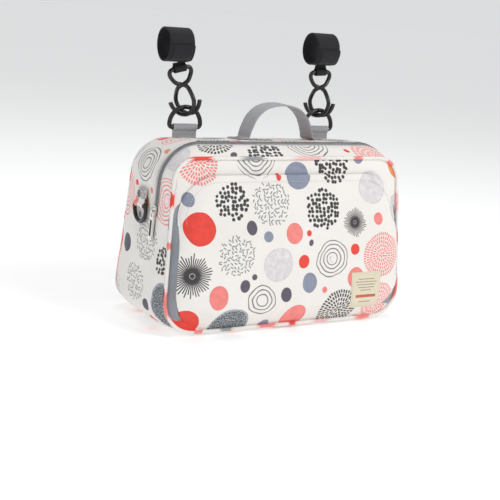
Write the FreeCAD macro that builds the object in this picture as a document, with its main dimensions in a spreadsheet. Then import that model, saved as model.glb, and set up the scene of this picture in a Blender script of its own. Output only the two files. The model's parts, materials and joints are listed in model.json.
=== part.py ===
import FreeCAD, Part
import math
import os
import Sketcher
from FreeCAD import Placement, Rotation, Vector

# Soft nursery bag that hangs from a pushchair handlebar.
# Frame: +Z up, front panel faces -Y, +X to the right seen from the front.
# Origin: middle of the flat base.  Units: millimetres.

doc = FreeCAD.newDocument("nursery_bag")
sheet = doc.addObject("Spreadsheet::Sheet", "sheet")

# alias, value, note
CELLS = [
    # shell
    ("base_width", 342.0, "width of the front and rear panels at the base"),
    ("top_width", 318.0, "width of the front and rear panels at the top"),
    ("front_height", 208.0, "height of the front seam"),
    ("rear_height", 214.0, "height of the rear seam"),
    ("crest_height", 222.0, "height of the zip line"),
    ("crest_base_width", 346.0, "width across the gusset middle at the base"),
    ("crest_top_width", 322.0, "width across the zip line at the top"),
    ("front_y_base", -70.0, "front seam, y at the base"),
    ("front_y_top", -50.0, "front seam, y at its top"),
    ("rear_y_base", 76.0, "rear seam, y at the base"),
    ("rear_y_top", 56.0, "rear seam, y at its top"),
    ("zip_y", -26.0, "y of the zip centre line"),
    ("front_corner_top", 30.0, "front panel corner radius, top"),
    ("front_corner_base", 30.0, "front and rear panel corner radius, base"),
    ("rear_corner_top", 42.0, "rear panel corner radius, top"),
    ("crest_corner_top", 52.0, "zip line corner radius"),
    ("gusset_wall", 1.6, "outer gusset fabric with its backing"),
    ("panel_wall", 1.4, "outer panel fabric"),
    ("foam_wall", 4.0, "panel foam"),
    ("lining_wall", 0.8, "lining"),
    ("ply_gap", 0.2, "air between neighbouring plies"),
    ("mouth_level", 134.0, "height of the zip ends and of the mouth fold"),
    # zip
    ("slot_width", 9.0, "zip slot between the two top strips"),
    ("tape_width", 12.0, "width of one zip tape"),
    ("coil_width", 2.2, "width of one coil row"),
    ("coil_gap", 1.4, "gap between the two coil rows"),
    ("slider_length", 11.0, "zip slider length"),
    ("slider_width", 8.0, "zip slider width"),
    ("slider_plate", 1.6, "slider top plate"),
    ("pull_length", 34.0, "zip pull length"),
    ("pull_width", 8.4, "zip pull width"),
    ("pull_wall", 2.4, "zip pull thickness"),
    # piping
    ("piping_radius", 2.2, "self fabric piping radius"),
    # front pocket
    ("pocket_depth", 18.0, "front pocket stands this far off the front seam"),
    ("pocket_inset", 5.2, "front pocket edge inside the seam"),
    ("pocket_top", 186.0, "height of the pocket hem"),
    ("pocket_wall", 1.6, "pocket panel"),
    ("hem_height", 9.0, "pocket hem band height"),
    # base
    ("board_width", 270.0, "base board width"),
    ("board_depth", 116.0, "base board depth"),
    ("board_wall", 3.0, "base board thickness"),
    ("board_corner", 18.0, "base board corner radius"),
    # rings
    ("ring_rod", 2.8, "top D-ring rod radius"),
    ("ring_arch", 21.0, "top D-ring arch radius, rod centre"),
    ("ring_corner", 4.0, "D-ring corner radius, rod centre"),
    ("ring_x", 98.0, "top D-rings left and right of the middle"),
    ("ring_y", 50.0, "top D-ring bar, y"),
    ("ring_level", 228.0, "top D-ring bar, height"),
    ("side_ring_rod", 2.5, "side D-ring rod radius"),
    ("side_ring_arch", 16.5, "side D-ring arch radius, rod centre"),
    ("side_ring_y", 8.0, "side D-ring middle, y"),
    ("side_ring_level", 141.0, "side D-ring bar, height"),
    ("tab_width", 32.0, "top tab webbing width"),
    ("side_tab_width", 24.0, "side tab width"),
    ("web_wall", 1.5, "webbing thickness"),
    ("loop_clear", 0.3, "clearance between a rod and its webbing tunnel"),
    # stroller hook and strap
    ("hook_rod", 2.7, "hook rod radius"),
    ("hook_reach", 57.0, "hook, bottom rod to top bar"),
    ("lean_left", 14.0, "left hook leans outward, degrees"),
    ("lean_right", 4.0, "right hook leans the same way, degrees"),
    ("hanger_width", 16.0, "webbing loop through the hook frame"),
    ("hanger_rise", 29.0, "hook top bar to handlebar centre"),
    ("bar_bore", 18.6, "bore radius of the strap around the handlebar"),
    ("bar_strap_wall", 2.0, "handlebar strap thickness"),
    ("bar_strap_width", 32.0, "handlebar strap width"),
    # handle
    ("handle_x", 13.0, "handle middle, x"),
    ("handle_y", 14.0, "handle middle, y"),
    ("handle_span", 94.0, "handle outer span at its feet"),
    ("handle_rise", 47.0, "handle crest above the top strip"),
    ("handle_width", 30.0, "handle webbing width"),
    ("handle_wall", 2.2, "handle webbing thickness"),
    ("foot_length", 20.0, "sewn foot of the handle"),
    # label
    ("label_width", 44.0, "sewn label width"),
    ("label_height", 46.0, "sewn label height"),
    ("label_wall", 0.6, "sewn label thickness"),
    # inner slip pocket
    ("slip_width", 250.0, "inner slip pocket width"),
    ("slip_height", 104.0, "inner slip pocket height"),
    ("slip_wall", 0.8, "inner slip pocket mesh"),
    ("elastic_height", 12.0, "elastic band of the slip pocket"),
]
for row, (alias, value, note) in enumerate(CELLS, start=1):
    sheet.set("A%d" % row, note)
    sheet.set("B%d" % row, repr(value))
    sheet.setAlias("B%d" % row, alias)
doc.recompute()


def dim(alias):
    """Value of a sheet cell."""
    return float(getattr(sheet, alias))


BIG = 400.0                 # beyond the bag in every direction
GAP = dim("ply_gap")
FOLD = dim("mouth_level")
ZIP = dim("zip_y")
WALL = dim("gusset_wall")
AXIS_X, AXIS_Y, AXIS_Z = Vector(1, 0, 0), Vector(0, 1, 0), Vector(0, 0, 1)
SIDES = (("left", -1), ("right", 1))
ZIP_SIDES = (("front", -1), ("rear", 1))
PARTS = []                  # finished pieces, in export order


# ---------------------------------------------------------------- solid helpers

def keep(obj, label):
    """Label a finished piece and put it on the export list."""
    obj.Label = label
    PARTS.append(obj)
    return obj


def solid_feature(label, shape, placement=None):
    obj = doc.addObject("Part::Feature", label)
    obj.Shape = shape
    if placement is not None:
        obj.Placement = placement
    return keep(obj, label)


def block(x0, x1, y0, y1, z0, z1):
    return Part.makeBox(x1 - x0, y1 - y0, z1 - z0, Vector(x0, y0, z0))


def layer(z0, z1):
    """Everything between two heights."""
    return block(-BIG, BIG, -BIG, BIG, z0, z1)


def above_fold(y0, y1):
    """Everything above the mouth fold between two y values, given in either order."""
    return block(-BIG, BIG, min(y0, y1), max(y0, y1), FOLD + GAP, BIG)


def along(edge, axis):
    """True for an open edge whose ends lie along axis."""
    if len(edge.Vertexes) != 2:
        return False
    chord = edge.Vertexes[1].Point - edge.Vertexes[0].Point
    return chord.Length > 1e-6 and abs(abs(chord.dot(axis)) / chord.Length - 1.0) < 1e-6


def round_rod(path, radius, start, direction, transition=0):
    """Round rod swept along the wire path, which begins at start."""
    ring = Part.Wire(Part.makeCircle(radius, start, direction))
    rod = path.makePipeShell([ring], True, False, transition)
    # the sweep can come out inside out
    if rod.Volume < 0:
        rod.reverse()
    return rod


BELOW = layer(0.0, FOLD)
ABOVE = layer(FOLD + GAP, BIG)


# ---------------------------------------------------------------- body outlines

BASE_DROP = 0.1             # lower edge of every outline sits this much low
LEAST_CORNER = 2.0          # smallest corner radius of an inset body outline
CREST_CORNER_EXTRA = 2.0    # base corner of the gusset middle over that of the panels


def trapezoid(low_width, high_width, height, inset):
    """Corners (x, z), counter-clockwise from bottom left, every side moved in by inset."""
    low_half, high_half = low_width / 2.0, high_width / 2.0
    slope = (low_half - high_half) / height
    shift = inset * math.sqrt(1.0 + slope * slope)
    z0, z1 = inset - BASE_DROP, height - inset
    x0 = low_half - slope * z0 - shift
    x1 = low_half - slope * z1 - shift
    return [(-x0, z0), (x0, z0), (x1, z1), (-x1, z1)]


def rounded_wire(points, low_radius, high_radius, lift):
    """Closed wire round four corners; lift(x, up) gives the 3-D point."""
    radii = [low_radius, low_radius, high_radius, high_radius]
    count = len(points)
    corners = []
    for i in range(count):
        tip = Vector(points[i][0], points[i][1], 0)
        before = Vector(points[i - 1][0], points[i - 1][1], 0)
        after = Vector(points[(i + 1) % count][0], points[(i + 1) % count][1], 0)
        to_before = (before - tip).normalize()
        to_after = (after - tip).normalize()
        half = math.acos(max(-1.0, min(1.0, to_before.dot(to_after)))) / 2.0
        back = radii[i] / math.tan(half)
        centre = tip + (to_before + to_after).normalize() * (radii[i] / math.sin(half))
        middle = centre + (tip - centre).normalize() * radii[i]
        arc = (tip + to_before * back, middle, tip + to_after * back)
        corners.append([lift(point.x, point.y) for point in arc])
    edges = []
    for i, (start, middle, end) in enumerate(corners):
        edges.append(Part.Arc(start, middle, end).toShape())
        edges.append(Part.makeLine(end, corners[(i + 1) % count][0]))
    return Part.Wire(edges)


def body_wire(widths, height, corners, inset, lift):
    """Body outline moved in by inset; widths and corners are (base, top)."""
    low, high = [max(corner - inset, LEAST_CORNER) for corner in corners]
    return rounded_wire(trapezoid(*widths, height, inset), low, high, lift)


class Seam:
    """Leaning plane of the front seam (outward -1) or the rear seam (outward +1)."""

    widths = (dim("base_width"), dim("top_width"))

    def __init__(self, side, outward):
        self.side = side
        self.outward = outward
        self.y_base = dim(side + "_y_base")
        height = dim(side + "_height")
        self.tilt = math.atan2(dim(side + "_y_top") - self.y_base, height)
        self.run = height / math.cos(self.tilt)
        self.turn = Rotation(AXIS_X, -math.degrees(self.tilt))

    def point(self, x, up, out=0.0):
        """Point up the plane and out of the bag from it."""
        cosine, sine = math.cos(self.tilt), math.sin(self.tilt)
        y = self.outward * out
        return Vector(x, self.y_base + up * sine + y * cosine, up * cosine - y * sine)

    def wire(self, inset, out=0.0):
        corners = (dim("front_corner_base"), dim(self.side + "_corner_top"))
        return body_wire(self.widths, self.run, corners, inset,
                         lambda x, up: self.point(x, up, out))

    def slab(self, out0, out1, x0=-BIG, x1=BIG, up0=-10.0):
        """Block parallel to the plane, from out0 to out1 outward of it."""
        y0 = min(self.outward * out0, self.outward * out1)
        box = Part.makeBox(x1 - x0, out1 - out0, BIG - up0, Vector(x0, y0, up0))
        box.Placement = Placement(Vector(0, self.y_base, 0), self.turn)
        return box

    def frame(self, behind):
        """Frame moved into the bag by behind: local z runs up the panel, local y rearward."""
        shift = self.turn.multVec(Vector(0, -self.outward * behind, 0))
        return Placement(Vector(0, self.y_base, 0) + shift, self.turn)


FRONT = Seam("front", -1)
REAR = Seam("rear", 1)


def crest_wire(inset):
    """Upright outline of the body in the zip plane."""
    widths = (dim("crest_base_width"), dim("crest_top_width"))
    corners = (dim("front_corner_base") + CREST_CORNER_EXTRA, dim("crest_corner_top"))
    return body_wire(widths, dim("crest_height"), corners, inset,
                     lambda x, up: Vector(x, ZIP, up))


def body_solid(inset):
    """The bag's body as one solid, its outline moved in by inset."""
    return Part.makeLoft([FRONT.wire(inset), crest_wire(inset), REAR.wire(inset)], True, True)


def band(inset_out, inset_in):
    return body_solid(inset_out).cut(body_solid(inset_in))


def strip_level(y):
    """Height of the rear top strip's outer face at y."""
    share = (y - ZIP) / (dim("rear_y_top") - ZIP)
    return dim("crest_height") + (dim("rear_height") - dim("crest_height")) * share


SIDE_INSET = (dim("crest_base_width") - dim("crest_top_width")) / 2
SIDE_LEAN = math.degrees(math.atan2(SIDE_INSET, dim("crest_height")))


def side_x(z):
    """Outer face of the gusset in the zip plane at height z, on the +x side."""
    return dim("crest_base_width") / 2 - SIDE_INSET * z / dim("crest_height")


# ---------------------------------------------------------------- gusset, zip rows, piping

COIL_INSETS = (0.3, WALL + 0.2)             # outer and inner face, from the body outline
TAPE_INSETS = (WALL + 0.4, WALL + 1.2)


def gusset_and_strips():
    outer_band = band(0.0, WALL)
    solid_feature("side_base_gusset", outer_band.common(BELOW))
    for side, sign in ZIP_SIDES:
        zone = above_fold(ZIP + sign * dim("slot_width") / 2.0, sign * BIG)
        solid_feature("top_strip_" + side, outer_band.common(zone))


def zip_rows():
    """Coil rows and tapes, one of each on either side of the zip centre line."""
    for kind, insets in (("coil", COIL_INSETS), ("tape", TAPE_INSETS)):
        row_band = band(*insets)
        for side, sign in ZIP_SIDES:
            near = ZIP + sign * dim("coil_gap") / 2.0
            zone = above_fold(near, near + sign * dim(kind + "_width"))
            solid_feature("zipper_%s_%s" % (kind, side), row_band.common(zone))


def piping(seam):
    """Round bead along a seam, starting on the straight run after its first corner."""
    bead = dim("piping_radius") + 0.1
    edges = seam.wire(bead, bead).OrderedEdges
    first = edges[1]
    return round_rod(Part.Wire(edges[1:] + edges[:1]), dim("piping_radius"),
                     first.valueAt(first.FirstParameter), first.tangentAt(first.FirstParameter))


def pipings():
    front_bead = piping(FRONT)
    solid_feature("front_piping_lower", front_bead.common(BELOW))
    solid_feature("front_piping_upper", front_bead.common(ABOVE))
    solid_feature("back_piping", piping(REAR))


gusset_and_strips()
zip_rows()
pipings()


# ---------------------------------------------------------------- front pocket

POCKET_BACK = 0.4           # open back of the tray, off the front seam plane
POCKET_TOP_EXTRA = 6.0      # top corner radius over that of the front panel
BELLOWS_SHARE = 0.70        # part of the pocket depth taken by the side walls
BELLOWS_X = 140.0           # bellows cloth lies outside this x
BELLOWS_LOW = 34.0          # bellows cloth starts this far up the panel


def pocket_tray(inset, depth, shrink):
    """Solid tray that swells forward, its corner radii smaller by shrink."""
    # more inset, distance off the seam plane, more corner radius
    stations = (
        (0.0, POCKET_BACK, 0.0),
        (0.6, depth * BELLOWS_SHARE, 2.0),
        (4.0, depth * 0.93, 4.0),
        (14.0, depth, 6.0),
    )
    near = dim("pocket_inset") + inset
    wires = []
    for step, out, growth in stations:
        extra = growth - shrink
        wires.append(rounded_wire(
            trapezoid(*FRONT.widths, FRONT.run, near + step),
            dim("front_corner_base") + extra,
            dim("front_corner_top") + POCKET_TOP_EXTRA + extra,
            lambda x, up, out=out: FRONT.point(x, up, out)))
    return Part.makeLoft(wires, True, True)


def bellows_zone(out0, out1, low):
    """Zone of the left and right side walls of the tray."""
    return FRONT.slab(out0, out1, -BIG, -BELLOWS_X, low).fuse(
        FRONT.slab(out0, out1, BELLOWS_X, BIG, low))


def front_pocket():
    depth, wall, top = dim("pocket_depth"), dim("pocket_wall"), dim("pocket_top")
    hem_low = top - dim("hem_height")
    shell = pocket_tray(0.0, depth, 0.0).cut(pocket_tray(wall, depth - wall, 1.0))
    shell = shell.cut(layer(top, BIG))
    # the side walls are plain bellows cloth, the rest is the pocket panel
    bellows_depth = depth * BELLOWS_SHARE
    bellows = shell.common(bellows_zone(0.0, bellows_depth, BELLOWS_LOW))
    face = shell.cut(bellows_zone(-1.0, bellows_depth + GAP, BELLOWS_LOW - GAP))
    solid_feature("pocket_panel_lower", face.common(BELOW))
    solid_feature("pocket_panel_upper", face.common(ABOVE).cut(layer(hem_low, BIG)))
    solid_feature("pocket_hem", face.common(layer(hem_low + GAP, BIG)))
    solid_feature("pocket_bellows_lower", bellows.common(BELOW))
    solid_feature("pocket_bellows_upper", bellows.common(ABOVE))


front_pocket()


# ---------------------------------------------------------------- gusset lining

PLY_STACK = dim("panel_wall") + dim("foam_wall") + dim("lining_wall") + 3 * GAP


def gusset_lining():
    """Lining band inside the gusset, clear of the front and rear panel plies."""
    outer = WALL + 0.4
    lining = band(outer, outer + dim("lining_wall")).common(layer(-BIG, FOLD - 1.0))
    ply_zones = [seam.slab(-PLY_STACK - 0.2, 20.0) for seam in (FRONT, REAR)]
    solid_feature("gusset_lining", lining.cut(ply_zones))


gusset_lining()


# ---------------------------------------------------------------- PartDesign helpers

def origin_plane(body, role):
    for feature in body.Origin.OriginFeatures:
        if feature.Role == role:
            return feature
    raise RuntimeError("no origin plane " + role)


def new_body(label, placement):
    body = doc.addObject("PartDesign::Body", label)
    body.Placement = placement
    return keep(body, label)


def new_sketch(body, name, role):
    sketch = body.newObject("Sketcher::SketchObject", name)
    sketch.AttachmentSupport = [(origin_plane(body, role), "")]
    sketch.MapMode = "FlatFace"
    return sketch


def constrain(sketch, *terms):
    return sketch.addConstraint(Sketcher.Constraint(*terms))


def bind(sketch, name, expression, *terms):
    """Add a named constraint driven by an expression."""
    sketch.renameConstraint(constrain(sketch, *terms), name)
    sketch.setExpression("Constraints." + name, expression)


def join_four(sketch, kind):
    """Join geometry 0 to 3 end to start into a closed chain."""
    for i in range(4):
        constrain(sketch, kind, i, 2, (i + 1) % 4, 1)


def sketch_line(sketch, start, end):
    sketch.addGeometry(Part.LineSegment(Vector(*start, 0), Vector(*end, 0)), False)


def sketch_arc(sketch, centre, radius, start, end):
    circle = Part.Circle(Vector(*centre, 0), AXIS_Z, radius)
    sketch.addGeometry(Part.ArcOfCircle(circle, start, end), False)


def sketch_circle(sketch, radius):
    """Circle round the sketch origin, not yet constrained."""
    sketch.addGeometry(Part.Circle(Vector(0, 0, 0), AXIS_Z, radius), False)


def driven_circle(sketch, index, name, expression, radius):
    """Circle round the sketch origin, as geometry number index, radius on the sheet."""
    sketch_circle(sketch, radius)
    constrain(sketch, "Coincident", index, 3, -1, 1)
    bind(sketch, name, expression, "Radius", index, radius)


def trapezoid_sketch(sketch, low_width, high_width, low, high):
    """Symmetric trapezoid; the four sizes are expressions."""
    # starting shape, resized by the expressions
    start_low, start_high, start_bottom, start_top = 100.0, 90.0, 1.0, 50.0
    corners = [(-start_low / 2, start_bottom), (start_low / 2, start_bottom),
               (start_high / 2, start_top), (-start_high / 2, start_top)]
    for i in range(4):
        sketch_line(sketch, corners[i], corners[(i + 1) % 4])
    join_four(sketch, "Coincident")
    constrain(sketch, "Symmetric", 0, 1, 0, 2, -2)
    constrain(sketch, "Symmetric", 2, 1, 2, 2, -2)
    bind(sketch, "low_width", low_width, "DistanceX", 0, 1, 0, 2, start_low)
    bind(sketch, "high_width", high_width, "DistanceX", 2, 2, 2, 1, start_high)
    bind(sketch, "low", low, "DistanceY", -1, 1, 0, 1, start_bottom)
    bind(sketch, "high", high, "DistanceY", -1, 1, 2, 1, start_top)


def pad(body, sketch, name, length, flip=False, midplane=False):
    feature = body.newObject("PartDesign::Pad", name)
    feature.Profile = sketch
    feature.setExpression("Length", length)
    feature.Reversed = flip
    if midplane:
        feature.Midplane = True
    doc.recompute()
    return feature


def round_edges(body, feature, name, radius, test):
    """Fillet the edges of feature that pass test(edge)."""
    names = ["Edge%d" % (i + 1) for i, edge in enumerate(feature.Shape.Edges) if test(edge)]
    if not names:
        raise RuntimeError("no edges to round on " + name)
    fillet = body.newObject("PartDesign::Fillet", name)
    fillet.Base = (feature, names)
    fillet.setExpression("Radius", radius)
    doc.recompute()
    return fillet


def plate(label, low_width, high_width, low, high, thick, placement,
          low_round=None, high_round=None, rearward=False):
    """Trapezoid sheet in the body's XZ plane, thickened to -y, or to +y if rearward."""
    body = new_body(label, placement)
    sketch = new_sketch(body, label + "_outline", "XZ_Plane")
    trapezoid_sketch(sketch, low_width, high_width, low, high)
    feature = pad(body, sketch, label + "_sheet", thick, flip=rearward)
    middle = (feature.Shape.BoundBox.ZMin + feature.Shape.BoundBox.ZMax) / 2.0
    if low_round:
        feature = round_edges(body, feature, label + "_low_round", low_round,
                              lambda edge: along(edge, AXIS_Y) and edge.CenterOfMass.z < middle)
    if high_round:
        round_edges(body, feature, label + "_high_round", high_round,
                    lambda edge: along(edge, AXIS_Y) and edge.CenterOfMass.z > middle)


def flat_plate(label, size_x, size_y, thick, placement, corner):
    """Rectangular sheet in the body's XY plane from y 0 up, with rounded corners."""
    body = new_body(label, placement)
    sketch = new_sketch(body, label + "_outline", "XY_Plane")
    trapezoid_sketch(sketch, size_x, size_x, "0", size_y)
    feature = pad(body, sketch, label + "_sheet", thick)
    round_edges(body, feature, label + "_round", corner, lambda edge: along(edge, AXIS_Z))


# ---------------------------------------------------------------- panel plies

# name, distance behind the seam plane, edge inset
PLIES = (
    ("panel", 0.0, WALL + 0.3),
    ("foam", dim("panel_wall") + GAP, WALL + 2.6),
    ("lining", dim("panel_wall") + dim("foam_wall") + 2 * GAP, WALL + 2.0),
)


def ply_plate(label, seam, ply, low, high, round_low=True, round_high=True):
    """One ply between two levels up the panel, following the panel's tapering width."""
    name, behind, inset = ply

    def width_at(level):
        return ("sheet.base_width - (sheet.base_width - sheet.top_width)"
                " * (%s) * %r / sheet.%s_height - %r"
                % (level, math.cos(seam.tilt), seam.side, 2.0 * inset * 1.002))

    low_round = "sheet.front_corner_base - %r" % inset
    high_round = "sheet.%s_corner_top - %r" % (seam.side, inset)
    plate(label, width_at(low), width_at(high), low, high, "sheet.%s_wall" % name,
          seam.frame(behind),
          low_round=low_round if round_low else None,
          high_round=high_round if round_high else None,
          rearward=seam.outward < 0)


def panel_plies():
    """Front plies are split at the mouth fold, back plies run full height."""
    front_cos, rear_cos = math.cos(FRONT.tilt), math.cos(REAR.tilt)
    fold_low = "sheet.mouth_level / %r" % front_cos
    fold_high = fold_low + " + sheet.ply_gap * 1.5"
    for ply in PLIES:
        name, _, inset = ply
        low = repr(inset)
        front_top = "sheet.front_height / %r - %r" % (front_cos, inset)
        rear_top = "sheet.rear_height / %r - %r" % (rear_cos, inset)
        ply_plate("front_%s_lower" % name, FRONT, ply, low, fold_low, round_high=False)
        ply_plate("front_%s_upper" % name, FRONT, ply, fold_high, front_top, round_low=False)
        ply_plate("back_%s" % name, REAR, ply, low, rear_top)


def slip_pocket():
    """Inner slip pocket on the back lining, with an elastic band above it."""
    frame = REAR.frame(PLY_STACK)
    top = "14 + sheet.slip_height"
    elastic_low = top + " + sheet.ply_gap"
    plate("inner_pocket", "sheet.slip_width", "sheet.slip_width - 8", "14", top,
          "sheet.slip_wall", frame, low_round="12")
    plate("inner_pocket_elastic", "sheet.slip_width - 8", "sheet.slip_width - 9",
          elastic_low, elastic_low + " + sheet.elastic_height", "sheet.slip_wall * 2", frame)


def sewn_label():
    """Label on the pocket front, lower right."""
    label_x = 108.0
    frame = Placement(FRONT.point(label_x, 0, dim("pocket_depth") + 0.2), FRONT.turn)
    plate("label", "sheet.label_width", "sheet.label_width", "20", "20 + sheet.label_height",
          "sheet.label_wall", frame, low_round="1.5", high_round="1.5")


def base_board():
    """Board lying just above the base, midway between the front and rear seams."""
    board_level = 3.2
    middle_y = (dim("front_y_base") + dim("rear_y_base")) / 2
    corner = Vector(0, middle_y - dim("board_depth") / 2, board_level)
    flat_plate("base_board", "sheet.board_width", "sheet.board_depth", "sheet.board_wall",
               Placement(corner, Rotation()), "sheet.board_corner")


panel_plies()
slip_pocket()
sewn_label()
base_board()


# ---------------------------------------------------------------- D-rings and their tabs

SIDE_TAB_DROP = 17.0        # side ring bar to the end of its tab


def ring_body(label, rod, arch, placement):
    """D-ring: the bar lies on local X, the arch rises along local Z."""
    body = new_body(label, placement)
    path = new_sketch(body, label + "_path", "XZ_Plane")
    radius, corner = dim(arch), dim("ring_corner")
    half = radius - corner
    sketch_line(path, (-half, 0), (half, 0))
    sketch_arc(path, (half, corner), corner, -math.pi / 2, 0)
    sketch_arc(path, (0, corner), radius, 0, math.pi)
    sketch_arc(path, (-half, corner), corner, math.pi, 1.5 * math.pi)
    join_four(path, "Tangent")
    constrain(path, "PointOnObject", 0, 1, -1)
    constrain(path, "PointOnObject", 2, 3, -2)
    constrain(path, "Equal", 1, 3)
    bind(path, "arch", "sheet." + arch, "Radius", 2, radius)
    bind(path, "corner", "sheet.ring_corner", "Radius", 1, corner)
    constrain(path, "DistanceY", -1, 1, 2, 3, corner)
    section = new_sketch(body, label + "_rod", "YZ_Plane")
    driven_circle(section, 0, "rod", "sheet." + rod, dim(rod))
    doc.recompute()
    pipe = body.newObject("PartDesign::AdditivePipe", label + "_sweep")
    pipe.Profile = section
    pipe.Spine = (path, ["Edge1", "Edge2", "Edge3", "Edge4"])
    doc.recompute()


def loop_body(label, rod, width, drop, placement):
    """Webbing folded round a rod on local X, its neck hanging down local -Z by drop."""
    body = new_body(label, placement)
    sketch = new_sketch(body, label + "_profile", "YZ_Plane")
    half = dim("web_wall")              # the neck is two webbing plies thick
    inner = dim(rod) + dim("loop_clear")
    outer = inner + dim("web_wall")
    shoulder = math.sqrt(outer * outer - half * half)
    angle = math.atan2(-shoulder, half)
    sketch_arc(sketch, (0, 0), outer, angle, math.pi - angle)
    sketch_line(sketch, (-half, -shoulder), (-half, -drop))
    sketch_line(sketch, (-half, -drop), (half, -drop))
    sketch_line(sketch, (half, -drop), (half, -shoulder))
    sketch_circle(sketch, inner)
    join_four(sketch, "Coincident")
    constrain(sketch, "Coincident", 0, 3, -1, 1)
    constrain(sketch, "Coincident", 4, 3, -1, 1)
    constrain(sketch, "Vertical", 1)
    constrain(sketch, "Vertical", 3)
    tunnel = "sheet.%s + sheet.loop_clear" % rod
    bind(sketch, "tunnel", tunnel, "Radius", 4, inner)
    bind(sketch, "outside", tunnel + " + sheet.web_wall", "Radius", 0, outer)
    bind(sketch, "neck", "2 * sheet.web_wall", "DistanceX", 2, 1, 2, 2, 2 * half)
    constrain(sketch, "Symmetric", 2, 1, 2, 2, -2)
    constrain(sketch, "DistanceY", 2, 1, -1, 1, drop)
    pad(body, sketch, label + "_web", "sheet." + width, midplane=True)


def top_rings():
    """Upright D-rings on the rear top strip, each with a tab below its bar."""
    y, z = dim("ring_y"), dim("ring_level")
    drop = z - strip_level(y - dim("web_wall")) - 0.3
    for side, sign in SIDES:
        frame = Placement(Vector(sign * dim("ring_x"), y, z), Rotation())
        ring_body("top_ring_" + side, "ring_rod", "ring_arch", frame)
        loop_body("top_tab_" + side, "ring_rod", "tab_width", drop, frame)


def side_rings():
    """Hanging D-rings on the gusset sides, each tab rising from its bar with the side's lean."""
    z = dim("side_ring_level")
    x = side_x(z) + dim("side_ring_rod") + dim("loop_clear") + dim("web_wall") + 0.5
    # local x lies along y, local z points down
    hang = Rotation(Vector(0, 1, 0), Vector(1, 0, 0), Vector(0, 0, -1), "XZY")
    for side, sign in SIDES:
        place = Vector(sign * x, dim("side_ring_y"), z)
        ring_body("side_ring_" + side, "side_ring_rod", "side_ring_arch",
                  Placement(place, hang))
        lean = Rotation(AXIS_Y, sign * -SIDE_LEAN)
        loop_body("side_tab_" + side, "side_ring_rod", "side_tab_width", SIDE_TAB_DROP,
                  Placement(place, lean.multiply(hang)))


top_rings()
side_rings()


# ---------------------------------------------------------------- stroller hooks

# Centre line of one half of the hook, from the middle of the top bar to its free end:
# x, y, distance below the top bar
HOOK_UPPER = (
    (0.0, 0.0, 0.0), (-9.0, 0.0, 0.0), (-13.2, 0.0, 1.6),
    (-14.6, 0.0, 5.4), (-12.4, 0.5, 11.0), (-6.4, 1.9, 17.6),
)
# the same columns, before the turn about the vertical
HOOK_LOWER = (
    (3.0, 2.9, 22.4), (10.6, 1.8, 30.2), (14.9, 0.6, 39.5),
    (13.2, -0.6, 48.6), (7.6, -2.2, 54.8), (0.0, -3.2, 57.0),
    (-8.6, -5.0, 55.2), (-14.6, -8.0, 47.6), (-16.2, -9.4, 41.0),
)
HOOK_TURN = math.radians(-70.0)
# extra distance from the ring's top to the hook's origin, besides both rod radii
HOOK_SEAT = {"left": 3.3, "right": 1.3}
NECK_CLEAR = 0.75           # hanger loop neck short of the handlebar strap


def hook_shape():
    """Rod from free end to free end.
    Local frame: origin between the crossed rods at the bottom, z up, top bar along x."""
    reach = dim("hook_reach")
    cosine, sine = math.cos(HOOK_TURN), math.sin(HOOK_TURN)
    half = [Vector(x, y, reach - drop) for x, y, drop in HOOK_UPPER]
    half += [Vector(x * cosine - y * sine, x * sine + y * cosine, reach - drop)
             for x, y, drop in HOOK_LOWER]
    other = [Vector(-point.x, -point.y, point.z) for point in half[1:]]
    curve = Part.BSplineCurve()
    curve.interpolate(list(reversed(half)) + other)
    return round_rod(Part.Wire(curve.toShape()), dim("hook_rod"),
                     curve.value(curve.FirstParameter),
                     curve.tangent(curve.FirstParameter)[0])


def bar_strap(label, centre):
    """Strap round the handlebar, which runs along x."""
    body = new_body(label, Placement(centre, Rotation()))
    sketch = new_sketch(body, label + "_section", "YZ_Plane")
    bore, wall = dim("bar_bore"), dim("bar_strap_wall")
    driven_circle(sketch, 0, "bore", "sheet.bar_bore", bore)
    driven_circle(sketch, 1, "outside", "sheet.bar_bore + sheet.bar_strap_wall", bore + wall)
    pad(body, sketch, label + "_web", "sheet.bar_strap_width", midplane=True)


def hangers():
    """Per top ring: a hook, the webbing loop on its top bar and the handlebar strap."""
    hook = hook_shape()
    ring_top = dim("ring_level") + dim("ring_arch") + dim("ring_corner")
    for side, sign in SIDES:
        lean = dim("lean_" + side)
        contact = dim("hook_rod") + dim("ring_rod") + HOOK_SEAT[side]
        turn = Rotation(AXIS_Y, -lean)
        pivot = Vector(sign * dim("ring_x"), dim("ring_y"), ring_top)
        foot = pivot + turn.multVec(Vector(0, 0, -contact))
        top = pivot + turn.multVec(Vector(0, 0, dim("hook_reach") - contact))
        centre = top + turn.multVec(Vector(0, 0, dim("hanger_rise")))
        solid_feature("stroller_hook_" + side, hook.copy(), Placement(foot, turn))
        # the loop is upside down: its neck rises to the handlebar strap
        upside = turn.multiply(Rotation(AXIS_X, 180))
        neck = dim("hanger_rise") - dim("bar_bore") - dim("bar_strap_wall") - NECK_CLEAR
        neck -= math.sin(math.radians(lean)) * dim("hanger_width") / 2
        loop_body("hanger_loop_" + side, "hook_rod", "hanger_width", neck,
                  Placement(top, upside))
        bar_strap("bar_strap_" + side, centre)


hangers()


# ---------------------------------------------------------------- handle

# left half of the handle arch, foot to crest: share of the half span, share of the rise
HANDLE_ARCH = ((1.0, 0.0), (0.93, 0.30), (0.80, 0.60), (0.56, 0.86), (0.28, 0.975), (0.0, 1.0))
HANDLE_CLEAR = 1.0          # handle ends above the foot webbing
FOOT_OUTSET = 4.0           # middle of a foot outside the end of the arch
HANDLE_X, HANDLE_Y = dim("handle_x"), dim("handle_y")
HALF_SPAN = dim("handle_span") / 2.0
HALF_WEB = dim("handle_width") / 2.0


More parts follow.
